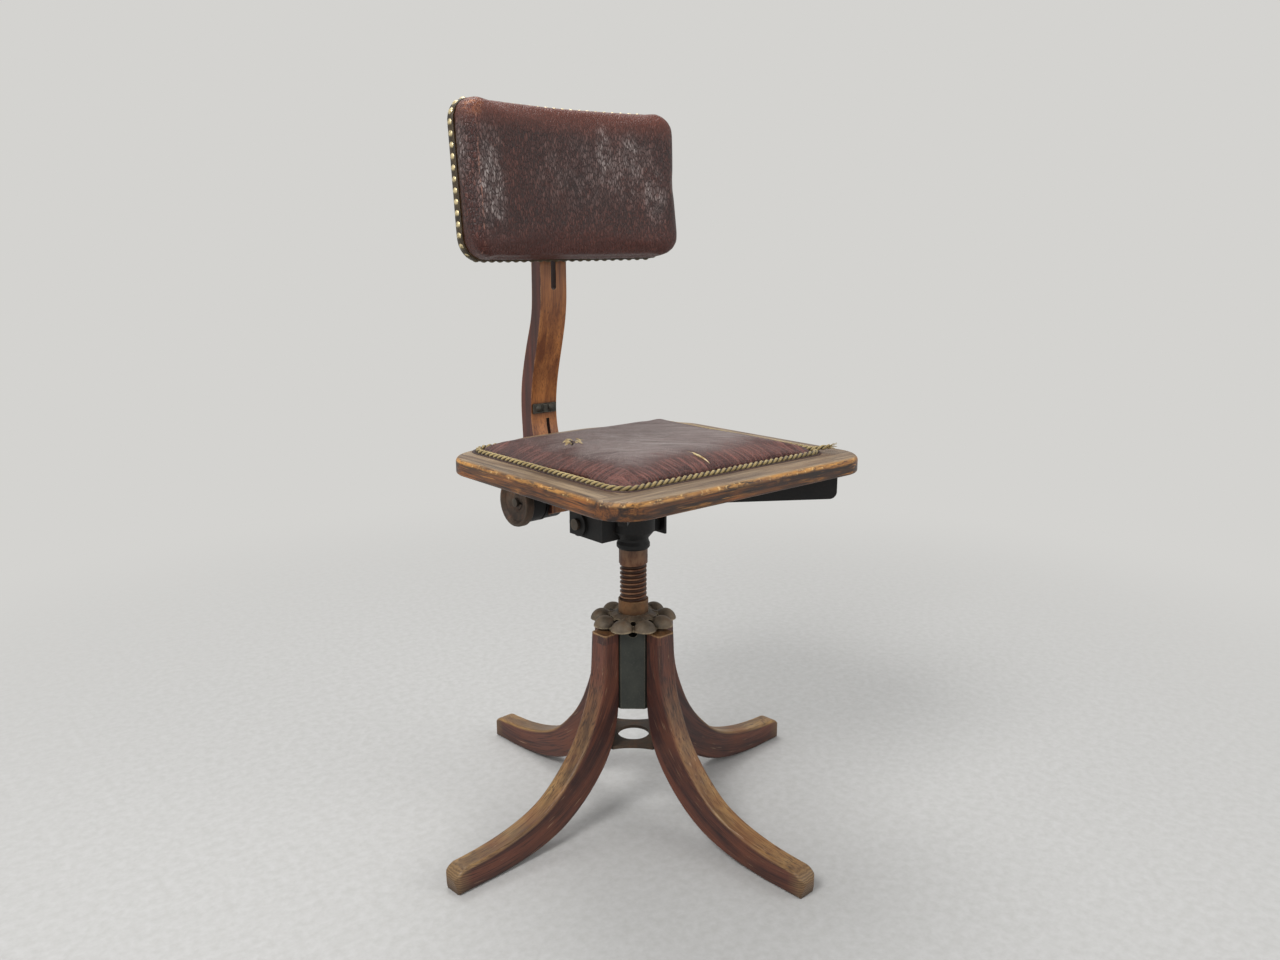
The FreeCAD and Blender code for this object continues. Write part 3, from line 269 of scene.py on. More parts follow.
def oak_rail(name, axis, move):
    """Seat frame rails: pale weathered top, dark sides with gold worn streaks along the grain."""
    s = Shader(name)
    x, y, z = s.axes()
    along = s.vector(x, y, z) if axis == "x" else s.vector(y, x, z)
    bands, pores = grain_lines(s, along, (8.0, 260.0, 260.0), move)
    blotch = s.noise(s.spot(), 14.0, 4.0, 0.6)
    top = s.mix(s.span(bands, 0.38, 0.62), srgb(96, 74, 54), srgb(160, 136, 106))
    top = s.tint(top, (54, 38, 28), s.span(pores, 0.5, 0.66))
    top = s.tint(top, (112, 78, 50), s.span(blotch, 0.5, 0.75, 0.0, 0.5))
    side = s.mix(s.span(bands, 0.4, 0.6), srgb(52, 30, 20), srgb(120, 72, 34))
    amber = s.span(s.noise(s.scaled(along, (9.0, 20.0, 50.0), (move, 7.0, 1.0)), 1.0, 3.0, 0.6), 0.5, 0.62)
    side = s.tint(side, (158, 92, 36), amber, 0.7)
    side = s.tint(side, (28, 17, 13), s.span(pores, 0.5, 0.66))
    streak = s.span(s.noise(s.scaled(along, (22.0, 420.0, 420.0), (move, 1.0, 5.0)), 1.0, 4.0, 0.65), 0.52,
                    0.64)
    patch = s.patches(26.0, 3.0, 0.55, 0.42, 0.6)
    side = s.tint(side, (190, 130, 62), streak, patch)
    soot = s.span(s.noise(s.scaled(along, (9.0, 40.0, 70.0), (move, 4.0, 2.0)), 1.0, 4.0, 0.6), 0.48, 0.6)
    side = s.tint(side, (26, 16, 12), soot, 0.85)
    color = s.mix(s.span(s.facing(2), 0.55, 0.93), side, top)
    shoulder = s.times(s.span(s.facing(2), 0.05, 0.4), s.span(s.facing(2), 0.96, 0.7))
    ragged = s.span(s.noise(s.scaled(along, (60.0, 260.0, 260.0), (move, 0.0, 3.0)), 1.0, 5.0, 0.7), 0.4,
                    0.56)
    worn = s.times(shoulder, ragged, s.patches(13.0, 3.0, 0.6, 0.34, 0.56, 0.25, 1.0))
    color = s.tint(color, (204, 146, 72), worn, 0.9)
    glint = s.times(shoulder, s.patches(210.0, 3.0, 0.6, 0.58, 0.68))
    color = s.tint(color, (234, 196, 132), glint, 0.7)
    height = s.plus(s.times(pores, 0.7), s.times(bands, 0.5))
    rough = s.span(blotch, 0.3, 0.7, 0.36, 0.55)
    return s.finish(color, rough, s.bump(height, 0.6, 0.0008))


def post_material():
    """Post: orange oak on the front, dark red-brown flanks, dark pores, worn edges and painted shade in its
    hollows.
    """
    s = Shader("post_oak")
    x, y, z = s.axes()
    along = s.vector(z, x, y)
    bands, pores = grain_lines(s, along, (7.0, 300.0, 300.0))
    blotch = s.noise(s.spot(), 20.0, 4.0, 0.6)
    front = s.mix(s.span(bands, 0.35, 0.65), srgb(120, 66, 32), srgb(186, 120, 66))
    front = s.tint(front, (74, 38, 20), s.span(pores, 0.5, 0.7))
    front = s.tint(front, (92, 46, 24), s.span(blotch, 0.5, 0.75, 0.0, 0.6))
    flank = s.mix(s.span(bands, 0.35, 0.65), srgb(58, 26, 20), srgb(96, 44, 32))
    flank = s.tint(flank, (34, 16, 13), s.span(pores, 0.52, 0.7))
    sideways = s.span(s.calc("ABSOLUTE", s.facing(0)), 0.6, 0.9)
    color = s.mix(sideways, front, flank)
    wear = s.times(s.edge(0.0022), s.patches(80.0, 4.0, 0.7, 0.4, 0.6))
    color = s.tint(color, (204, 146, 90), wear, 0.7)
    # Painted shade in the post's slot and corners, from ambient occlusion.
    color = s.tint(color, (24, 14, 10), s.hollow_shade(0.006), 0.85)
    height = s.plus(s.times(pores, 0.7), s.times(bands, 0.4))
    return s.finish(color, s.span(blotch, 0.3, 0.7, 0.32, 0.5), s.bump(height, 0.5, 0.0007))


def board_material():
    """Boards: plain brown wood that hardly shows."""
    s = Shader("board_wood")
    x, y, z = s.axes()
    bands, pores = grain_lines(s, s.vector(x, y, z), (6.0, 180.0, 180.0), 3.0)
    color = s.mix(s.span(bands, 0.35, 0.65), srgb(104, 78, 52), srgb(134, 104, 72))
    color = s.tint(color, (70, 50, 34), s.span(pores, 0.52, 0.7))
    height = s.plus(pores, bands)
    return s.finish(color, 0.62, s.bump(height, 0.4, 0.0006))


# Metals
def iron(name, dark, pale, rust, rust_share=0.4, edge_tone=None, edge_share=0.6, rough=(0.5, 0.72),
         metal=0.35,
         grit=0.0006, edge_radius=0.002, valley_shade=0.005):
    """Old cast or forged iron: two greys, rust blotches, edges in a tone of their own (rubbed wear on most
    irons, painted shade on the knob) and painted shade in its corners.
    """
    s = Shader(name)
    cloud = s.noise(s.spot(), 38.0, 6.0, 0.65)
    fine = s.noise(s.spot(), 420.0, 4.0, 0.6)
    color = s.mix(s.span(cloud, 0.35, 0.65), srgb(*dark), srgb(*pale))
    spots = s.patches(75.0, 6.0, 0.7, 0.5, 0.66, 0.0, rust_share)
    color = s.tint(color, rust, spots)
    # Edges take edge_tone: rubbed wear where it is pale; on the knob it is near black, painted shade on its
    # rim.
    wear = s.times(s.edge(edge_radius), s.patches(120.0, 4.0, 0.6, 0.36, 0.58))
    color = s.tint(color, edge_tone or pale, wear, edge_share)
    # Painted shade: darker in corners and recesses, from ambient occlusion.
    color = s.tint(color, (16, 13, 11), s.hollow_shade(valley_shade), 0.75)
    height = s.plus(cloud, s.times(fine, 0.5))
    return s.finish(color, s.span(cloud, 0.3, 0.7, *rough), s.bump(height, 0.45, grit), metal)


def spindle_material():
    """Spindle: reddish rust, dark thread valleys, rubbed crests."""
    s = Shader("rusty_steel")
    x, y, z = s.axes()
    cloud = s.noise(s.scaled(s.spot(), (1.0, 1.0, 0.6)), 45.0, 6.0, 0.65)
    fine = s.noise(s.scaled(s.spot(), (1.0, 1.0, 4.0)), 260.0, 4.0, 0.6)
    out = s.calc("SQRT", s.plus(s.times(x, x), s.times(y, y)))
    color = s.mix(s.span(cloud, 0.3, 0.7), srgb(88, 54, 38), srgb(148, 104, 74))
    color = s.tint(color, (112, 62, 36), s.span(fine, 0.45, 0.7, 0.0, 0.5))
    color = s.tint(color, (40, 22, 15), s.span(out, THREAD_RIM, THREAD_ROOT), 0.85)
    crest = s.times(s.span(out, 0.01615, THREAD_CREST), s.span(cloud, 0.4, 0.6))
    color = s.tint(color, (188, 150, 116), crest, 0.35)
    shank = s.mix(s.span(cloud, 0.3, 0.7), srgb(52, 44, 40), srgb(92, 78, 68))
    color = s.mix(s.times(s.span(z, 0.318, 0.345), 0.75), color, shank)
    height = s.plus(cloud, fine)
    return s.finish(color, s.span(cloud, 0.3, 0.7, 0.42, 0.6), s.bump(height, 0.35, 0.0005), 0.45)


def hub_material():
    """Hub: flat grey-green iron with thin rubbed lines on its corners."""
    s = Shader("hub_iron")
    cloud = s.noise(s.spot(), 30.0, 6.0, 0.65)
    fine = s.noise(s.spot(), 380.0, 4.0, 0.6)
    color = s.mix(s.span(cloud, 0.3, 0.7), srgb(40, 43, 40), srgb(64, 66, 60))
    color = s.tint(color, (84, 82, 74), s.span(fine, 0.55, 0.75, 0.0, 0.4))
    color = s.tint(color, (136, 128, 112), s.edge(0.0013), 0.8)
    height = s.plus(cloud, s.times(fine, 0.5))
    return s.finish(color, s.span(cloud, 0.3, 0.7, 0.5, 0.66), s.bump(height, 0.4, 0.0005), 0.3)


# Leathers
def leather(name, deep, mid, warm, sheen_tone, crease, sheen_spots, patch):
    """Old leather: crease lines in cells per metre, reddish patches, and a painted grey sheen on its ridges
    round listed spots.
    """
    s = Shader(name)
    spot = s.spot()
    drift = s.node("ShaderNodeVectorMath", props={"operation": "MULTIPLY_ADD"},
                   i0=s.node("ShaderNodeTexNoise", out=1, Vector=spot, Scale=75.0, Detail=3.0),
                   i1=(0.005, 0.005, 0.005), i2=spot)
    creased = s.scaled(drift, crease)
    ridges = s.span(s.cells(creased), 0.02, 0.2)
    cell = s.axes(s.node("ShaderNodeTexVoronoi", out="Color", Vector=creased, Scale=1.0))[0]
    pebbles = s.span(s.cells(s.scaled(drift, tuple(2.3 * c for c in crease))), 0.0, 0.3)
    folds = s.span(s.cells(s.scaled(drift, tuple(0.4 * c for c in crease))), 0.0, 0.12)
    blotch = s.noise(spot, 11.0, 5.0, 0.6)
    color = s.mix(s.span(blotch, 0.3, 0.7), srgb(*deep), srgb(*mid))
    color = s.tint(color, warm, s.patches(24.0, 4.0, 0.6, 0.5, 0.75, 0.0, 0.6))
    color = s.tint(color, (34, 16, 14), s.span(cell, 0.0, 1.0, 0.45, 0.0))
    color = s.tint(color, (132, 88, 76), s.span(cell, 0.6, 1.0, 0.0, 0.22))
    color = s.tint(color, (26, 12, 10), s.calc("SUBTRACT", 1.0, ridges), 0.8)
    reach = None
    # Painted sheen: grey highlight on the ridges, strongest at the listed spots and broken into patches.
    for place, sizes, share in sheen_spots:
        away = s.node("ShaderNodeVectorMath", props={"operation": "SUBTRACT"}, i0=spot, i1=place)
        away = s.scaled(away, tuple(1.0 / size for size in sizes))
        far = s.node("ShaderNodeVectorMath", out="Value", props={"operation": "LENGTH"}, i0=away)
        here = s.span(far, 1.0, 0.25, 0.0, share, True)
        reach = here if reach is None else s.calc("MAXIMUM", reach, here)
    torn = s.patches(patch, 6.0, 0.7, 0.38, 0.6)
    painted_sheen = s.times(reach, torn, s.times(ridges, s.span(cell, 0.1, 0.9, 0.25, 1.0)))
    color = s.tint(color, sheen_tone, painted_sheen)
    height = s.plus(s.times(ridges, 0.6), s.times(folds, 0.5))
    height = s.plus(height, s.times(pebbles, 0.25))
    height = s.plus(height, s.noise(spot, 60.0, 3.0, 0.5))
    rough = s.span(painted_sheen, 0.0, 0.6, 0.44, 0.34)
    return s, color, rough, s.bump(height, 0.8, 0.0008)


def seat_leather_material():
    """Seat: oxblood near its edge, grey-brown and wrinkled in the middle, painted sheen on the wrinkle
    crests, painted highlights on the edge pleats, and stuffing painted near black as shade in the hole.
    """
    s, color, rough, normal = leather(
        "seat_leather", (80, 36, 32), (112, 54, 46), (132, 66, 50), (172, 162, 158), (430.0, 430.0, 430.0),
        [((-0.03, -0.01, 0.478), (0.13, 0.12, 0.05), 0.8), ((-0.10, -0.05, 0.478), (0.05, 0.09, 0.05), 0.5)],
        50.0)
    spot = s.spot()
    turned = s.node("ShaderNodeVectorRotate", props={"rotation_type": "Z_AXIS"}, Vector=spot,
                    Angle=math.radians(41.0))
    wrinkle = s.noise(s.scaled(turned, (22.0, 120.0, 22.0)), 1.0, 6.0, 0.68, 0.9)
    depth = s.node("ShaderNodeAttribute", out="Fac", props={"attribute_name": "inner"})
    edge_noise = s.times(s.calc("SUBTRACT", s.noise(spot, 20.0, 4.0, 0.6), 0.5), 0.5)
    aged = s.span(s.plus(depth, edge_noise), 0.25, 0.75, 0.0, 0.85, True)
    x, y, z = s.axes()
    rear = s.span(y, -0.04, 0.09)
    tired = s.mix(rear, srgb(138, 124, 120), srgb(96, 76, 72))
    color = s.mix(s.times(aged, s.span(wrinkle, 0.34, 0.58, 0.4, 1.0)), color, tired)
    # Painted sheen: pale grey on the wrinkle crests, stronger towards the front.
    pale = s.times(aged, s.span(wrinkle, 0.56, 0.72))
    color = s.tint(color, (176, 166, 162), pale, s.span(rear, 0.0, 1.0, 0.7, 0.3))
    dark_line = s.times(aged, s.span(wrinkle, 0.43, 0.33))
    color = s.tint(color, (54, 36, 34), dark_line, 0.8)
    front_pleats = s.times(s.noise(s.scaled(spot, (520.0, 30.0, 1.0)), 1.0, 2.0, 0.5),
                           s.span(y, -0.10, -0.125))
    side_pleats = s.times(s.noise(s.scaled(spot, (30.0, 520.0, 1.0)), 1.0, 2.0, 0.5),
                          s.span(x, -0.10, -0.12))
    # Painted highlight: lighter lines on the pleats along the front edge and the -X side.
    pleat_highlight = s.times(s.span(s.calc("MAXIMUM", front_pleats, side_pleats), 0.5, 0.62),
                     s.calc("SUBTRACT", 1.0, aged))
    color = s.tint(color, (150, 96, 84), pleat_highlight, 0.6)
    color = s.tint(color, (44, 18, 16), s.span(depth, 0.16, 0.0), 0.6)
    inside = s.node("ShaderNodeAttribute", out="Fac", props={"attribute_name": "torn"})
    # Painted shade: the stuffing inside the torn hole is coloured near black.
    stuffing_in_shade = s.mix(s.patches(420.0, 3.0, 0.6, 0.56, 0.7), srgb(8, 5, 4), srgb(56, 40, 26))
    color = s.mix(s.span(inside, 0.3, 0.7), color, stuffing_in_shade)
    return s.finish(color, rough, normal, 0.0, Specular_IOR_Level=0.45)


def back_leather_material():
    """Backrest: upright creases, painted silver sheen left and right, redder top band, thin rubbed ridge."""
    s, color, rough, normal = leather(
        "back_leather", (66, 34, 30), (92, 52, 45), (106, 60, 50), (178, 168, 164), (400.0, 300.0, 130.0),
        [((-0.126, 0.10, 0.765), (0.026, 0.09, 0.085), 1.0),
         ((-0.156, 0.125, 0.80), (0.012, 0.05, 0.05), 0.7),
         ((0.085, 0.09, 0.80), (0.022, 0.09, 0.045), 0.85), ((0.045, 0.09, 0.805), (0.020, 0.09, 0.045),
                                                             0.8),
         ((0.115, 0.09, 0.76), (0.026, 0.09, 0.05), 0.75), ((0.07, 0.09, 0.785), (0.08, 0.09, 0.055), 0.5),
         ((0.0, 0.09, 0.78), (0.09, 0.09, 0.06), 0.28)],
        60.0)
    spot = s.spot()
    x, y, z = s.axes()
    color = s.tint(color, (122, 60, 42), s.span(z, 0.822, 0.85), 0.5)
    color = s.tint(color, (112, 52, 40), s.span(z, 0.72, 0.682), 0.35)
    sway = s.times(s.noise(s.scaled(spot, (1.0, 1.0, 24.0)), 1.0, 2.0, 0.5), 0.005)
    off_line = s.calc("ABSOLUTE", s.plus(s.calc("SUBTRACT", x, sway), 0.1445))
    broken = s.span(s.noise(s.scaled(spot, (260.0, 260.0, 110.0)), 1.0, 4.0, 0.7), 0.47, 0.6)
    line = s.times(s.span(off_line, 0.0011, 0.0002), broken, s.span(y, 0.118, 0.108))
    color = s.tint(color, (190, 136, 116), line, 0.65)
    corner = s.node("ShaderNodeVectorMath", out="Value", props={"operation": "DISTANCE"}, i0=spot,
                    i1=(-0.143, 0.104, 0.85))
    rubbed = s.times(s.span(corner, 0.018, 0.004), s.patches(170.0, 4.0, 0.6, 0.42, 0.6))
    color = s.tint(color, (186, 116, 72), rubbed, 0.6)
    return s.finish(color, rough, normal, 0.0, Specular_IOR_Level=0.42)


def panel_leather_material():
    """Flat leather behind the backrest; also the dark strip round the seat pad that is painted shade for the
    gap there.
    """
    s = Shader("panel_leather")
    fine = s.cells(s.spot(), 700.0)
    blotch = s.noise(s.spot(), 16.0, 5.0, 0.6)
    color = s.mix(s.span(blotch, 0.3, 0.7), srgb(44, 24, 20), srgb(74, 42, 34))
    color = s.tint(color, (24, 13, 11), s.span(fine, 0.12, 0.0))
    return s.finish(color, s.span(blotch, 0.3, 0.7, 0.5, 0.64), s.bump(fine, 0.4, 0.0004))


def braid_material():
    """Old gold gimp: bright strands, painted shade in the valleys between them, worn stretches."""
    s = Shader("braid_cloth")
    fibre = s.noise(s.spot(), 900.0, 3.0, 0.6)
    cloud = s.noise(s.spot(), 40.0, 4.0, 0.6)
    color = s.mix(s.span(cloud, 0.35, 0.65), srgb(142, 120, 72), srgb(186, 164, 110))
    color = s.tint(color, (214, 196, 148), s.span(fibre, 0.5, 0.75, 0.0, 0.5))
    color = s.tint(color, (98, 82, 50), s.patches(21.0, 3.0, 0.6, 0.55, 0.7, 0.0, 0.5))
    valley_shade = s.node("ShaderNodeAttribute", out="Fac", props={"attribute_name": "valley_shade"})
    # Painted shade in the valleys between the strands.
    color = s.tint(color, (36, 26, 14), valley_shade, 0.92)
    return s.finish(color, 0.78, s.bump(fibre, 0.6, 0.0004), 0.0, Sheen_Weight=0.25)


def straw_material():
    """Stuffing fibres and lining, from tan to cream."""
    s = Shader("straw")
    cloud = s.noise(s.spot(), 160.0, 3.0, 0.6)
    color = s.mix(s.span(cloud, 0.35, 0.65), srgb(172, 142, 92), srgb(230, 212, 168))
    return s.finish(color, 0.7, s.bump(cloud, 0.4, 0.0003))


def nail_material():
    """Dome nails: rubbed pale crowns over olive patina, with painted shade at their rims and on their
    down-facing sides.
    """
    s = Shader("nail_brass")
    cloud = s.noise(s.spot(), 90.0, 5.0, 0.6)
    patina = s.patches(260.0, 3.0, 0.6, 0.34, 0.5, 0.35, 1.0)
    color = s.mix(patina, srgb(84, 70, 42), srgb(222, 204, 158))
    # Painted shade where each dome meets the band, from ambient occlusion.
    color = s.tint(color, (40, 32, 18), s.hollow_shade(0.0022, 0.45, 0.85), 0.9)
    # Painted shade on down-facing sides, darker the more they face down.
    color = s.tint(color, (34, 26, 16), s.span(s.facing(2), -0.15, -0.6, 0.0, 0.85))
    rough = s.span(cloud, 0.3, 0.7, 0.3, 0.48)
    return s.finish(color, rough, s.bump(cloud, 0.25, 0.0003), 0.55)


def band_material():
    """Olive-brown leather band under the nails."""
    s = Shader("band_leather")
    fine = s.cells(s.spot(), 620.0)
    blotch = s.noise(s.spot(), 70.0, 5.0, 0.6)
    color = s.mix(s.span(blotch, 0.35, 0.65), srgb(40, 32, 20), srgb(84, 68, 42))
    color = s.tint(color, (22, 16, 10), s.span(fine, 0.12, 0.0))
    return s.finish(color, 0.6, s.bump(fine, 0.4, 0.0004))


# Pieces
def add_piece(name, data, material, body):
    """Smooth shaded object that rides on a body."""
    for face in data.polygons:
        face.use_smooth = True
    data.materials.append(material)
    piece = bpy.data.objects.new(name, data)
    scene.collection.objects.link(piece)
    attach(piece, body)
    return piece


def mesh_from(name, corners, faces):
    data = bpy.data.meshes.new(name)
    data.from_pydata([tuple(c) for c in corners], [], faces)
    data.update()
    return data


def rounded(centres, radius, steps, step):
    """Closed even line round corner centres, each with the angle that its arc starts at."""
    line = []
    for x, y, start in centres:
        for i in range(steps + 1):
            turn = math.radians(start + 90 * i / steps)
            line.append(Vector((x + radius * math.cos(turn), y + radius * math.sin(turn), 0)))
    return even(line + line[:1], step)[:-1]


def panel_outline(inset, step):
    """Closed line of the seat panel at an inset, seen from above, from the front left corner."""
    half = PANEL["half"] - inset
    front = PANEL["front"] + inset
    rear = PANEL["rear"] - inset
    radius = max(PANEL["corner"] - 0.6 * inset, 0.006)
    centres = [(half - radius, front + radius, -90), (half - radius - PANEL["taper"], rear - radius, 0),
               (-half + radius + PANEL["taper"], rear - radius, 90), (-half + radius, front + radius, 180)]
    return rounded(centres, radius, 24, step)


def even(line, step):
    """The same polyline, resampled at even steps."""
    lengths = [0.0]
    for a, b in zip(line, line[1:]):
        lengths.append(lengths[-1] + (b - a).length)
    count = max(2, int(round(lengths[-1] / step)))
    spots = []
    k = 0
    for i in range(count + 1):
        want = lengths[-1] * i / count
        while k < len(line) - 2 and lengths[k + 1] < want:
            k += 1
        share = (want - lengths[k]) / max(lengths[k + 1] - lengths[k], 1e-9)
        spots.append(line[k].lerp(line[k + 1], min(max(share, 0.0), 1.0)))
    return spots


def tube(corners, faces, line, radius, sides=8, radii=None):
    """Add a round tube along a polyline to lists of corners and faces, with closed ends."""
    first = len(corners)
    up = Vector((0.13, 0.21, 1.0)).normalized()
    for i, point in enumerate(line):
        ahead = line[min(i + 1, len(line) - 1)] - line[max(i - 1, 0)]
        ahead.normalize()
        side = ahead.cross(up)
        if side.length < 1e-3:
            side = ahead.cross(Vector((1, 0, 0)))
        side.normalize()
        up = side.cross(ahead).normalized()
        wide = radius if radii is None else radii[i]
        for j in range(sides):
            turn = 2 * math.pi * j / sides
            corners.append(point + side * (wide * math.cos(turn)) + up * (wide * math.sin(turn)))
    for i in range(len(line) - 1):
        for j in range(sides):
            a = first + i * sides + j
            b = first + i * sides + (j + 1) % sides
            faces.append((a, b, b + sides, a + sides))
    faces.append(tuple(first + j for j in reversed(range(sides))))
    last = first + (len(line) - 1) * sides
    faces.append(tuple(last + j for j in range(sides)))


def rope_piece(name, line, strands, strand_r, coil_r, pitch, flat, material, body):
    """Twisted cord round a line: each strand winds about it."""
    corners, faces = [], []
    sides = 9
    reach = 0.0
    tracks = [[] for _ in range(strands)]
    for i, point in enumerate(line):
        ahead = (line[min(i + 1, len(line) - 1)] - line[max(i - 1, 0)]).normalized()
        side = ahead.cross(Vector((0, 0, 1))).normalized()
        up = side.cross(ahead).normalized()
        if i:
            reach += (point - line[i - 1]).length
        wave = 1.0 + 0.10 * noise.noise(point * 60.0)
        for k in range(strands):
            turn = 2 * math.pi * (reach / pitch + k / strands)
            tracks[k].append(point + side * (coil_r * wave * math.cos(turn)) +
                             up * (coil_r * flat * math.sin(turn)))
    for track in tracks:
        tube(corners, faces, track, strand_r, sides)
    data = mesh_from(name, corners, faces)
    # Painted shade mask: 1 on the strands' sides that face the cord's middle, 0 outward.
    valley_shade = data.attributes.new("valley_shade", "FLOAT", "POINT")
    for i in range(len(data.vertices)):
        away = (corners[i] - line[i // sides % len(line)]).length / (coil_r + strand_r)
        valley_shade.data[i].value = min(max((0.86 - away) / 0.22, 0.0), 1.0)
    return add_piece(name, data, material, body)


def inset_depth(x, y, inset):
    """How far inside the pad's outline a point lies."""
    half = PANEL["half"] - inset - PANEL["taper"] * (y - PANEL["front"]) / (PANEL["rear"] - PANEL["front"])
    dx = half - abs(x)
    dy = min(y - PANEL["front"] - inset, PANEL["rear"] - inset - y)
    radius = PANEL["corner"] - 0.6 * inset
    if dx < radius and dy < radius:
        return radius - math.hypot(radius - dx, radius - dy)
    return min(dx, dy)


HOLE_AT = Vector((-0.0860, 0.0040, 0.0))
VIEW_ACROSS = Vector((0.756, -0.655, 0.0))
VIEW_AHEAD = Vector((0.655, 0.756, 0.0))
SLASH = [Vector((-0.0235, -0.1085, 0.0)), Vector((-0.0165, -0.1105, 0.0)), Vector((-0.0128, -0.1170, 0.0)),
         Vector((-0.0140, -0.1300, 0.0)), Vector((-0.0160, -0.1450, 0.0))]
SPLINTER = [Vector((-0.0182, -0.1215, 0.0)), Vector((-0.0160, -0.1455, 0.0))]


def hole_share(x, y):
    """1 in the torn hole, 0 outside its ragged rim."""
    away = Vector((x, y, 0.0)) - HOLE_AT
    long_way = away.dot(VIEW_AHEAD) / 1.7
    across = away.dot(VIEW_ACROSS)
    ragged = 0.0048 * (1.0 + 0.5 * noise.noise(Vector((math.atan2(across, long_way) * 1.4, 0.7, 2.0))))
    return min(max((ragged - math.hypot(long_way, across)) / 0.0016 + 0.5, 0.0), 1.0)


def slash_share(x, y):
    """1 in the middle of the slash, 0 past its lips."""
    here = Vector((x, y, 0.0))
    best = 0.0
    total = len(SLASH) - 1
    for i in range(total):
        a, b = SLASH[i], SLASH[i + 1]
        t = min(max((here - a).dot(b - a) / (b - a).length_squared, 0.0), 1.0)
        wide = 0.0019 * math.sin(math.pi * min(max((i + t) / total, 0.03), 0.97)) + 0.0003
        best = max(best, min(max((wide - (here - a.lerp(b, t)).length) / 0.0012 + 0.5, 0.0), 1.0))
    return best


def pad_grid(wide, tall, reach, low, high, radius, depth_at):
    """Rows of places over a rounded outline. A place past a corner is drawn in to its arc."""
    rows = []
    for j in range(tall):
        row = []
        for i in range(wide):
            v = -1 + 2 * j / (tall - 1)
            y = (low + high) / 2 + v * (high - low) / 2
            side = reach(y)
            x = (-1 + 2 * i / (wide - 1)) * side
            if depth_at(x, y) < 0:
                cx = math.copysign(side - radius, x)
                cy = low + radius if v < 0 else high - radius
                away = Vector((x - cx, y - cy))
                away *= radius / away.length
                x, y = cx + away.x, cy + away.y
            row.append((x, y))
        rows.append(row)
    return rows


def ring_faces(rings, count):
    """Faces between closed rings of corners, all with the same count."""
    pairs = [(j * count + i, j * count + (i + 1) % count) for j in range(rings - 1) for i in range(count)]
    return [(a, b, b + count, a + count) for a, b in pairs]


def closed_pad(name, rows, top, bottom):
    """Closed cushion form from a grid of top and bottom corners."""
    wide = len(rows[0])
    tall = len(rows)
    corners = [top(*spot) for row in rows for spot in row] + [bottom(*spot) for row in rows for spot in row]
    under = wide * tall
    faces = []
    for j in range(tall - 1):
        for i in range(wide - 1):
            a = j * wide + i
            faces.append((a, a + 1, a + wide + 1, a + wide))
            faces.append((under + a, under + a + wide, under + a + wide + 1, under + a + 1))
    rim = list(range(wide)) + [j * wide + wide - 1 for j in range(1, tall)]
    rim += [(tall - 1) * wide + i for i in range(wide - 2, -1, -1)]
    rim += [j * wide for j in range(tall - 2, 0, -1)]
    for a, b in zip(rim, rim[1:] + rim[:1]):
        faces.append((a, under + a, under + b, b))
    return mesh_from(name, corners, faces)


def applied(work):
    """Mesh of an object with its modifiers applied."""
    graph = bpy.context.evaluated_depsgraph_get()
    return bpy.data.meshes.new_from_object(work.evaluated_get(graph))


def swell(data, voxel, held, cap, pressure=4.0, frames=20):
    """Voxel remesh, then cloth under pressure with the held corners pinned and every move capped."""
    work = bpy.data.objects.new("swell", data)
    scene.collection.objects.link(work)
    remesh = work.modifiers.new("remesh", "REMESH")
    remesh.mode = "VOXEL"
    remesh.voxel_size = voxel
    bpy.context.view_layer.update()
    shaped = applied(work)
    work.modifiers.clear()
    work.data = shaped
    start = [v.co.copy() for v in shaped.vertices]
    pinned = work.vertex_groups.new(name="held")
    for i, co in enumerate(start):
        share = held(co)
        if share > 0:
            pinned.add([i], share, "REPLACE")
    cloth = work.modifiers.new("cloth", "CLOTH")
    cloth.settings.use_pressure = True
    cloth.settings.uniform_pressure_force = pressure
    cloth.settings.effector_weights.gravity = 0.0
    cloth.settings.vertex_group_mass = "held"
    cloth.settings.tension_stiffness = 15.0
    cloth.settings.compression_stiffness = 15.0
    cloth.settings.bending_stiffness = 0.5
    cloth.settings.mass = 0.3
    cloth.point_cache.frame_start = 1
    cloth.point_cache.frame_end = frames
    for step in range(1, frames + 1):
        scene.frame_set(step)
    puffed = applied(work)
    for i, v in enumerate(puffed.vertices):
        move = v.co - start[i]
        if move.length > cap:
            v.co = start[i] + move * (cap / move.length)
    work.modifiers.clear()
    work.data = puffed
    scene.frame_set(1)
    result = work.data
    bpy.data.objects.remove(work)
    return result


def smoothed(data, rounds):
    """Even out a mesh in place."""
    form = bmesh.new()
    form.from_mesh(data)
    for _ in range(rounds):
        bmesh.ops.smooth_vert(form, verts=form.verts, factor=0.5, use_axis_x=True, use_axis_y=True,
                              use_axis_z=True)
    form.to_mesh(data)
    form.free()


def subdivided(data, where):
    """Split the edges whose middle is picked, in place."""
    form = bmesh.new()
    form.from_mesh(data)
    edges = [e for e in form.edges if where((e.verts[0].co + e.verts[1].co) / 2)]
    bmesh.ops.subdivide_edges(form, edges=edges, cuts=1, use_grid_fill=True, smooth=0.0)
    form.to_mesh(data)
    form.free()


def subsurf(data):
    """The same mesh with one level of subdivision."""
    work = bpy.data.objects.new("subsurf", data)
    scene.collection.objects.link(work)
    made = work.modifiers.new("subsurf", "SUBSURF")
    made.levels = 1
    made.render_levels = 1
    bpy.context.view_layer.update()
    result = applied(work)
    bpy.data.objects.remove(work)
    return result


# Seat pad
PAD_INSET = 0.0079
PAD_CROWN = 0.0162
PAD_DRAWN_IN = 0.0006
PAD_PEAK = 0.4790
FIBRE_PEAK = 0.4825
HOLE_DEEP = 0.0075
SLASH_DEEP = 0.0018
CLOTH_CAP = 0.004


def seat_height(depth):
    """Rise of the seat pad over its board at a distance from its edge."""
    return 0.0024 + PAD_CROWN * (1.0 - math.exp(-max(depth, 0.0) / 0.021))


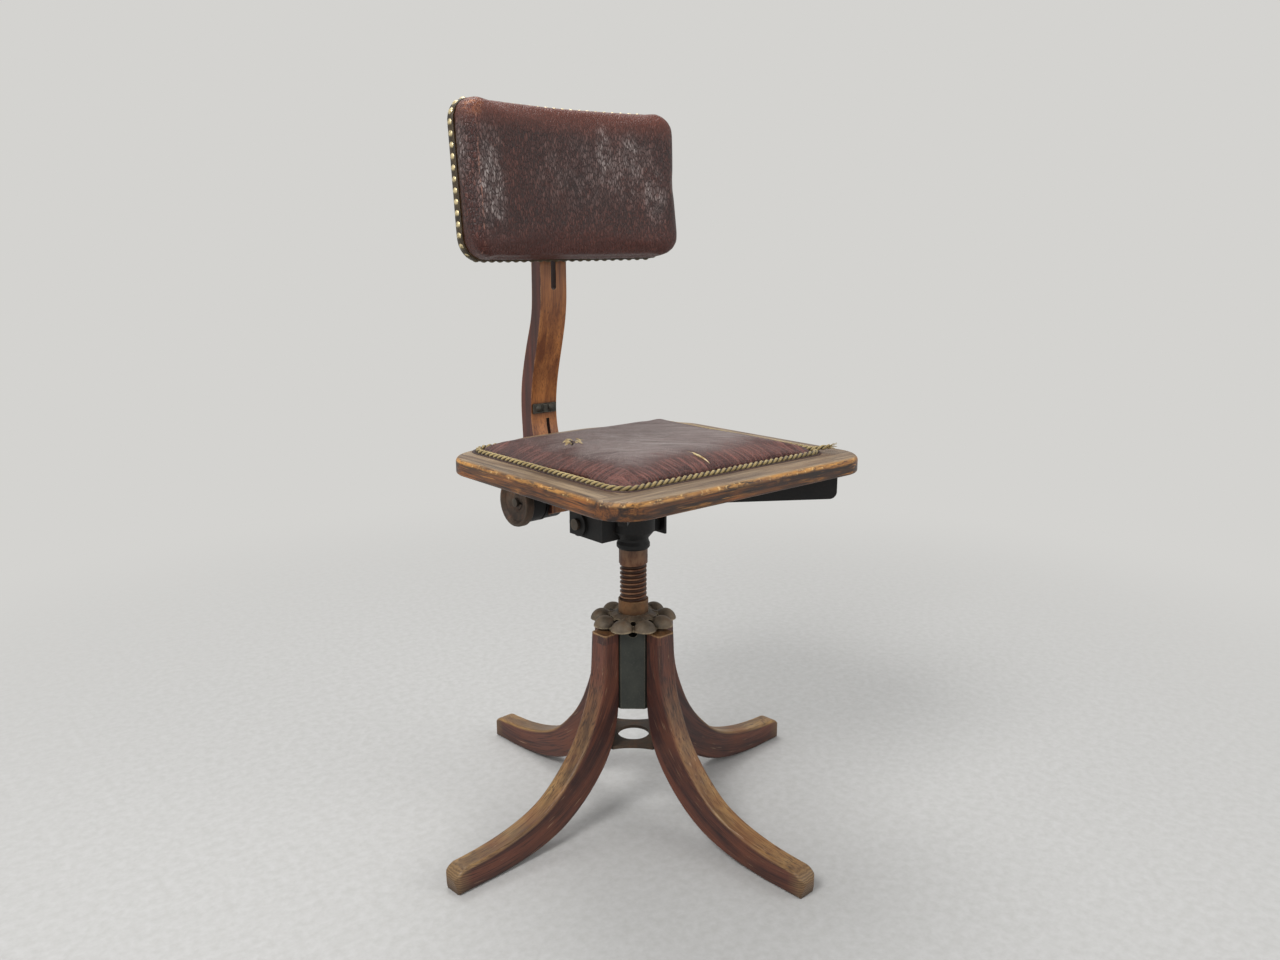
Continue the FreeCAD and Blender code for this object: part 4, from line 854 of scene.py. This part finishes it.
def seat_pad_piece(material):
    """Crowned seat cushion with a sagging, wrinkled middle, a torn hole and a slash."""
    half = PANEL["half"] - PAD_INSET
    front = PANEL["front"] + PAD_INSET
    rear = PANEL["rear"] - PAD_INSET
    rows = pad_grid(64, 58, lambda y: half - PANEL["taper"] * (y - front) / (rear - front), front, rear,
                    PANEL["corner"] - 0.6 * PAD_INSET, lambda x, y: inset_depth(x, y, PAD_INSET))
    data = closed_pad("seat_cushion", rows,
                      lambda x, y: (x, y, BOARD_TOP + seat_height(inset_depth(x, y, PAD_INSET))),
                      lambda x, y: (x, y, BOARD_TOP))
    data = swell(data, 0.004, lambda co: 1.0 if inset_depth(co.x, co.y, PAD_INSET) < 0.004 or
                 co.z < BOARD_TOP + 0.002 else 0.0, CLOTH_CAP)
    smoothed(data, 2)
    data = subsurf(data)

    def near_tear(co):
        return co.z > 0.466 and ((co.xy - HOLE_AT.xy).length < 0.017 or
                                 (-0.030 < co.x < -0.004 and -0.152 < co.y < -0.105))
    subdivided(data, near_tear)
    subdivided(data, near_tear)
    torn = data.attributes.new("torn", "FLOAT", "POINT")
    inner_share = data.attributes.new("inner", "FLOAT", "POINT")
    for v in data.vertices:
        x, y, z = v.co
        depth = inset_depth(x, y, PAD_INSET)
        inner = min(max(depth / 0.05, 0.0), 1.0)
        inner_share.data[v.index].value = min(max(depth / 0.09, 0.0), 1.0)
        if z < 0.464:
            continue
        wave = noise.fractal(Vector((x * 11.0, y * 30.0, 3.0)), 1.0, 2.0, 4)
        low = noise.noise(Vector((x * 9.0, y * 9.0, 7.0)))
        sag = -0.0016 * math.exp(-((x + 0.01) ** 2 + (y + 0.01) ** 2) / (2 * 0.06 ** 2))
        pleat = 0.0
        if y < -0.10:
            pleat = 0.0004 * math.sin(x * 720.0 + 2.0 * noise.noise(Vector((x * 30.0, 0, 0)))) * \
                min(max((0.035 - depth) / 0.03, 0.0), 1.0) * min(max(depth / 0.006, 0.0), 1.0)
        lift = 0.0006 * wave * inner + 0.0012 * low * inner + sag + pleat
        hole = hole_share(x, y)
        slash = slash_share(x, y)
        rim_away = (Vector((x, y)) - HOLE_AT.xy).length
        curl = 0.0016 * math.exp(-((rim_away - 0.0095) / 0.0035) ** 2)
        lift += curl * (1 - hole) - HOLE_DEEP * hole - SLASH_DEEP * slash
        v.co.z = min(z + lift, PAD_PEAK)
        torn.data[v.index].value = hole
    piece = add_piece("seat_cushion", data, material, "seat")
    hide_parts("seat_pad")
    return piece


def surface_z(piece, x, y):
    """Height of a piece's top at a place."""
    hit, spot, _, _ = piece.ray_cast(Vector((x, y, 0.6)), Vector((0, 0, -1)))
    return spot.z if hit else BOARD_TOP


def straw_piece(pad, material):
    """Stuffing fibres that stand out of the torn hole on both sides."""
    rng = random.Random(11)
    corners, faces = [], []
    for k in range(30):
        way = -1 if k % 3 else 1
        root = HOLE_AT + VIEW_ACROSS * (way * rng.uniform(0.003, 0.006))
        root += VIEW_AHEAD * rng.uniform(-0.0095, 0.0085)
        heading = Matrix.Rotation(rng.uniform(-0.75, 0.75), 3, "Z") @ (VIEW_ACROSS * way)
        length = rng.uniform(0.004, 0.0095)
        rise = rng.uniform(0.0004, 0.0026)
        line = []
        for step in range(6):
            t = step / 5
            spot = root + heading * (length * (t - 0.25))
            floor = surface_z(pad, spot.x, spot.y) + 0.0055 * hole_share(spot.x, spot.y)
            spot.z = min(floor + 0.0003 + rise * math.sin(math.pi * min(t + 0.2, 1.0)), FIBRE_PEAK)
            line.append(spot)
        tube(corners, faces, line, rng.uniform(0.0002, 0.00045), 5)
    return add_piece("seat_straw", mesh_from("seat_straw", corners, faces), material, "seat")


def slash_piece(pad, material):
    """Pale splinter of the lining in the slash and the rolled lip behind it."""
    corners, faces = [], []
    for points, wide, peak in ((SPLINTER, 0.00115, 0.3), (SLASH[:4], 0.0006, 0.5)):
        line = even(points, 0.001)
        radii = []
        for i, spot in enumerate(line):
            t = i / (len(line) - 1)
            swell_share = t / peak if t < peak else (1 - t) / (1 - peak)
            radii.append(0.0002 + wide * max(swell_share, 0.0) ** 0.6)
            spot.z = surface_z(pad, spot.x, spot.y) + 0.0005
        tube(corners, faces, line, wide, 7, radii)
    return add_piece("seat_slash", mesh_from("seat_slash", corners, faces), material, "seat")


GIMP = {"inset": 0.0046, "rise": 0.0031, "strand": 0.0017, "coil": 0.0014, "pitch": 0.0165, "flat": 0.92}


def braid_pieces(material):
    """Twisted gimp round the pad, with its loose end past the front left corner."""
    half = PANEL["half"] - GIMP["inset"]
    centre_z = BOARD_TOP + GIMP["rise"]
    ring = [Vector((p.x, p.y, centre_z)) for p in panel_outline(GIMP["inset"], 0.0006)]
    start = Vector((half - 0.004, PANEL["front"] + 0.012, centre_z))
    first = min(range(len(ring)), key=lambda i: (ring[i] - start).length)
    ring = ring[first:] + ring[:first]
    if ring[40].y > ring[0].y:
        ring.reverse()
    last = max(i for i, p in enumerate(ring) if p.x > half - 0.004 and p.y > -0.142)
    line = ring[:last]
    away = Vector((half - 0.0006, -0.142, centre_z))
    line += even([line[-1], away, away + Vector((0.0003, -0.010, 0.0016)),
                  away + Vector((0.0022, -0.019, 0.0042)), away + Vector((0.0050, -0.0255,
                                                                          0.0058))], 0.0006)[1:]
    gimp = rope_piece("seat_gimp", line, 2, GIMP["strand"], GIMP["coil"], GIMP["pitch"], GIMP["flat"],
                      material,
                      "seat")
    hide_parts("seat_braid")
    rng = random.Random(5)
    corners, faces = [], []
    end = line[-1]
    ahead = (line[-1] - line[-8]).normalized()
    for _ in range(16):
        side = Vector((rng.uniform(-1, 1), rng.uniform(-0.4, 0.4), rng.uniform(-0.7, 0.7)))
        root = end + side * 0.0018 - ahead * 0.002
        thread = [root + ahead * (0.0075 * t) + side * (0.0035 * t * t) for t in (0.0, 0.25, 0.5, 0.75, 1.0)]
        tube(corners, faces, thread, rng.uniform(0.0002, 0.00035), 5)
    add_piece("gimp_fray", mesh_from("gimp_fray", corners, faces), material, "seat")


def gap_shade_strip_piece(material):
    """Dark leather strip outside the gimp that stands in for the shade in the gap between pad and frame:
    painted shade.
    """
    corners = []
    count = len(panel_outline(-0.0016, 0.003))
    profile = ((-0.0016, 0.0), (-0.0014, 0.0006), (0.0002, 0.0008), (0.0016, 0.0005), (0.0024, -0.0006))
    for inset, lift in profile:
        ring = resampled(panel_outline(inset, 0.003), count)
        for p in ring:
            ragged = 0.0003 * noise.noise(Vector((p.x * 160, p.y * 160, inset * 900)))
            corners.append(Vector((p.x + ragged, p.y + ragged, SEAT_TOP + 0.0001 + lift)))
    data = mesh_from("gap_shade_strip", corners, ring_faces(len(profile), count))
    return add_piece("gap_shade_strip", data, material, "seat")


def resampled(ring, count):
    """A closed line with a given number of corners."""
    total = len(ring)
    out = []
    for i in range(count):
        at = total * i / count
        k = int(at)
        out.append(ring[k % total].lerp(ring[(k + 1) % total], at - k))
    return out


# Backrest cushion
def rest_bend(x, depth):
    """Y of the upright backrest at a distance in front of its board's rear face."""
    radius = (REST["half"] ** 2 + REST["sag"] ** 2) / (2 * REST["sag"])
    return REST["rear"] - radius + math.sqrt((radius - depth) ** 2 - x * x)


def rest_depth(x, z):
    """How far inside the backrest's outline a place lies."""
    dx = REST["half"] - abs(x)
    dz = min(z - REST["low"], REST["high"] - z)
    radius = REST["corner"]
    if dx < radius and dz < radius:
        return radius - math.hypot(radius - dx, radius - dz)
    return min(dx, dz)


def lean(point):
    """Place on the upright backrest, leaned back about its pivot."""
    return Matrix.Rotation(REST_LEAN, 3, "X") @ (point - REST_PIVOT) + REST_PIVOT


def back_pad_piece(material):
    """Curved backrest cushion with a soft front edge and pleats along its sides."""
    rear = REST["board"] + 0.0002
    thick = REST["pad"]
    rows = pad_grid(86, 52, lambda z: REST["half"] - PAD_DRAWN_IN, REST["low"] + PAD_DRAWN_IN,
                    REST["high"] - PAD_DRAWN_IN, REST["corner"] - PAD_DRAWN_IN, rest_depth)

    def front(x, z):
        inner = min(max(rest_depth(x, z), 0.0) / 0.013, 1.0)
        rise = math.sqrt(max(1 - (1 - inner) ** 2, 0.0))
        return (x, rest_bend(x, rear + thick * (0.66 + 0.30 * rise)), z)

    data = closed_pad("back_cushion", rows, front, lambda x, z: (x, rest_bend(x, rear), z))
    form = bmesh.new()
    form.from_mesh(data)
    bmesh.ops.recalc_face_normals(form, faces=form.faces)
    form.to_mesh(data)
    form.free()
    data = swell(data, 0.0042, lambda co: 1.0 if co.y > rest_bend(co.x, rear + 0.008) else 0.0, CLOTH_CAP)
    smoothed(data, 2)
    data = subsurf(data)
    for v in data.vertices:
        x, y, z = v.co
        depth = max(rest_bend(x, rear) - y, 0.0) / thick
        low = noise.noise(Vector((x * 10.0, z * 10.0, 5.0)))
        tuck = 0.0005 * math.sin((x + z) * 506.0) * max(0.0, 1 - depth * 2.2)
        v.co.y = y + 0.0010 * low * min(depth, 1.0)
        if rest_depth(x, z) < 0.012:
            v.co -= Vector((x, 0, z - REST_MIDDLE)).normalized() * max(tuck, 0.0)
        v.co = lean(v.co)
    piece = add_piece("back_cushion", data, material, "backrest")
    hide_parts("backrest_pad")
    return piece


def rest_outline(inset, step):
    """Closed line round the backrest seen from the front, x and z."""
    half = REST["half"] - inset
    low = REST["low"] + inset
    high = REST["high"] - inset
    radius = REST["corner"] - inset
    centres = [(half - radius, low + radius, -90), (half - radius, high - radius, 0),
               (-half + radius, high - radius, 90), (-half + radius, low + radius, 180)]
    return [Vector((p.x, 0.0, p.y)) for p in rounded(centres, radius, 16, step)]


def hide_band_piece(material):
    """Leather band that the nails hold round the edge of the backrest board."""
    ring = rest_outline(0.0, 0.003)
    depths = ((-0.0006, -0.0016), (-0.0004, 0.0006), (0.0045, 0.0009), (0.0088, 0.0007), (0.0098, -0.0004))
    corners = []
    count = len(ring)
    for depth, out in depths:
        for p in ring:
            cx = max(-REST["half"] + REST["corner"], min(REST["half"] - REST["corner"], p.x))
            cz = max(REST["low"] + REST["corner"], min(REST["high"] - REST["corner"], p.z))
            away = Vector((p.x - cx, 0.0, p.z - cz)).normalized()
            ragged = 0.00025 * noise.noise(Vector((p.x * 200, p.z * 200, depth * 500)))
            at = p + away * (out - 0.0008 + ragged)
            corners.append(lean(Vector((at.x, rest_bend(at.x, depth), at.z))))
    data = mesh_from("back_band", corners, [face[::-1] for face in ring_faces(len(depths), count)])
    return add_piece("back_band", data, material, "backrest")


# Build
straw = straw_material()
braid = braid_material()
hide = panel_leather_material()
seat_cushion = seat_pad_piece(seat_leather_material())
straw_piece(seat_cushion, straw)
slash_piece(seat_cushion, straw)
braid_pieces(braid)
gap_shade_strip_piece(hide)
back_pad_piece(back_leather_material())
hide_band_piece(band_material())

paint(leg_material(), "leg_left", "leg_rear", "leg_right", "leg_front")
paint(hub_material(), "hub_socket")
paint(iron("spider_iron", (52, 42, 34), (86, 70, 56), (104, 66, 42)), "spider_plate")
paint(iron("wheel_iron", (70, 60, 50), (124, 110, 92), (104, 70, 46), 0.4, (178, 160, 130), 0.85,
           edge_radius=0.004, valley_shade=0.014), "adjusting_wheel")
paint(spindle_material(), "spindle")
paint(iron("neck_iron", (92, 66, 44), (148, 110, 74), (120, 70, 36), 0.5, (176, 140, 96), 0.6), "nut_sleeve")
black = iron("black_iron", (17, 17, 18), (34, 34, 34), (48, 38, 32), 0.25, (74, 70, 64), 0.4)
paint(black, "seat_iron", "side_plate", "tongue_plate", "pivot_barrel", "clamp_cup", "rest_bracket")
# Knob: near-black edge tone, painted shade on the rim of its dished face.
paint(iron("knob_iron", (52, 42, 36), (96, 80, 66), (112, 76, 56), 0.5, (24, 20, 18), 0.8,
           edge_radius=0.003),
      "clamp_knob")
paint(iron("strap_iron", (42, 42, 38), (78, 76, 68), (90, 66, 46), 0.3, (120, 116, 104), 0.6), "post_strap",
      "strap_rivets")
steel = iron("plain_steel", (58, 52, 46), (104, 96, 86), (104, 70, 48), 0.45, (140, 132, 120), 0.5,
             (0.4, 0.6), 0.7)
paint(steel, "leg_screws", "thrust_washer", "end_washer", "end_screw", "iron_screws", "side_bolt",
      "tongue_bolts", "clamp_bolt", "clamp_nut", "pivot_bolt", "rest_screws")
paint(iron("bush_brass", (120, 92, 46), (164, 132, 72), (90, 70, 40), 0.4, (190, 160, 100), 0.5,
           (0.35, 0.5), 0.8), "guide_bush")
paint(post_material(), "back_post")
for side, axis, move in (("front", "x", 1.0), ("rear", "x", 6.0), ("left", "y", 11.0), ("right", "y", 17.0)):
    paint(oak_rail("seat_wood_" + side, axis, move), side + "_rail")
paint(board_material(), "seat_board", "backrest_board")
paint(hide, "backrest_panel")
paint(nail_material(), "backrest_nails")

# Plain pale floor that runs into an even backdrop
FLOOR_TONE = srgb(212, 211, 208)
FADE_FROM, FADE_TO = 0.45, 1.7
FLOOR_HALF = 12


def seen_directly(shader):
    """1 on rays from the camera, or by gloss or glass, 0 on those that light the object."""
    def ray(kind):
        return shader.node("ShaderNodeLightPath", out=kind)
    return shader.calc("MAXIMUM", shader.calc("MAXIMUM", ray("Is Camera Ray"), ray("Is Glossy Ray")),
                       ray("Is Transmission Ray"))


floor_shader = Shader("floor")
floor_x, floor_y, _ = floor_shader.axes()
from_chair = floor_shader.calc("SQRT", floor_shader.plus(floor_shader.times(floor_x, floor_x),
                                                         floor_shader.times(floor_y, floor_y)))
fade = floor_shader.span(from_chair, FADE_FROM, FADE_TO, 0.0, 1.0, True)
speck = floor_shader.patches(90.0, 5.0, 0.65, 0.35, 0.65)
floor_shader.finish(floor_shader.mix(speck, srgb(188, 187, 184), srgb(198, 197, 195)), 0.9)
even_tone = floor_shader.node("ShaderNodeEmission", Color=FLOOR_TONE, Strength=1.0)
even_share = floor_shader.times(fade, seen_directly(floor_shader))
floor_look = floor_shader.node("ShaderNodeMixShader", i0=even_share, i1=floor_shader.bsdf.outputs[0],
                               i2=even_tone)
floor_shader.plug(floor_shader.tree.nodes["Material Output"].inputs[0], floor_look)
floor_mesh = mesh_from("floor", [(FLOOR_HALF * x, FLOOR_HALF * y, 0) for x, y in
                                 ((-1, -1), (1, -1), (1, 1), (-1, 1))], [(0, 1, 2, 3)])
floor_mesh.materials.append(floor_shader.material)
floor = bpy.data.objects.new("floor", floor_mesh)
floor.location.z = -0.0005
scene.collection.objects.link(floor)

world = bpy.data.worlds.new("studio")
scene.world = world
world.use_nodes = True
sky = world.node_tree
lamp_tone = sky.nodes["Background"]
lamp_tone.inputs[0].default_value = (0.86, 0.87, 0.88, 1.0)
lamp_tone.inputs[1].default_value = 0.55
seen = sky.nodes.new("ShaderNodeBackground")
seen.inputs[0].default_value = FLOOR_TONE
seen.inputs[1].default_value = 1.0
path = sky.nodes.new("ShaderNodeLightPath")
share = path.outputs["Is Camera Ray"]
for kind in ("Is Glossy Ray", "Is Transmission Ray"):
    either = sky.nodes.new("ShaderNodeMath")
    either.operation = "MAXIMUM"
    sky.links.new(share, either.inputs[0])
    sky.links.new(path.outputs[kind], either.inputs[1])
    share = either.outputs[0]
blend = sky.nodes.new("ShaderNodeMixShader")
sky.links.new(share, blend.inputs[0])
sky.links.new(lamp_tone.outputs[0], blend.inputs[1])
sky.links.new(seen.outputs[0], blend.inputs[2])
sky.links.new(blend.outputs[0], sky.nodes["World Output"].inputs[0])


def lamp(name, spot, aim, size, watts):
    """Round soft light turned to a place on the chair."""
    data = bpy.data.lights.new(name, "AREA")
    data.shape = "DISK"
    data.size = size
    data.energy = watts
    made = bpy.data.objects.new(name, data)
    made.location = spot
    made.rotation_euler = (Vector(aim) - Vector(spot)).to_track_quat("-Z", "Y").to_euler()
    scene.collection.objects.link(made)


lamp("key", (-1.9, -0.5, 2.3), (0.0, 0.0, 0.5), 1.1, 42.0)
lamp("fill", (1.2, -2.2, 1.5), (0.0, 0.0, 0.45), 1.6, 16.0)
lamp("top", (0.3, 0.9, 2.6), (0.0, 0.0, 0.4), 1.4, 26.0)

scene.view_settings.view_transform = "Standard"
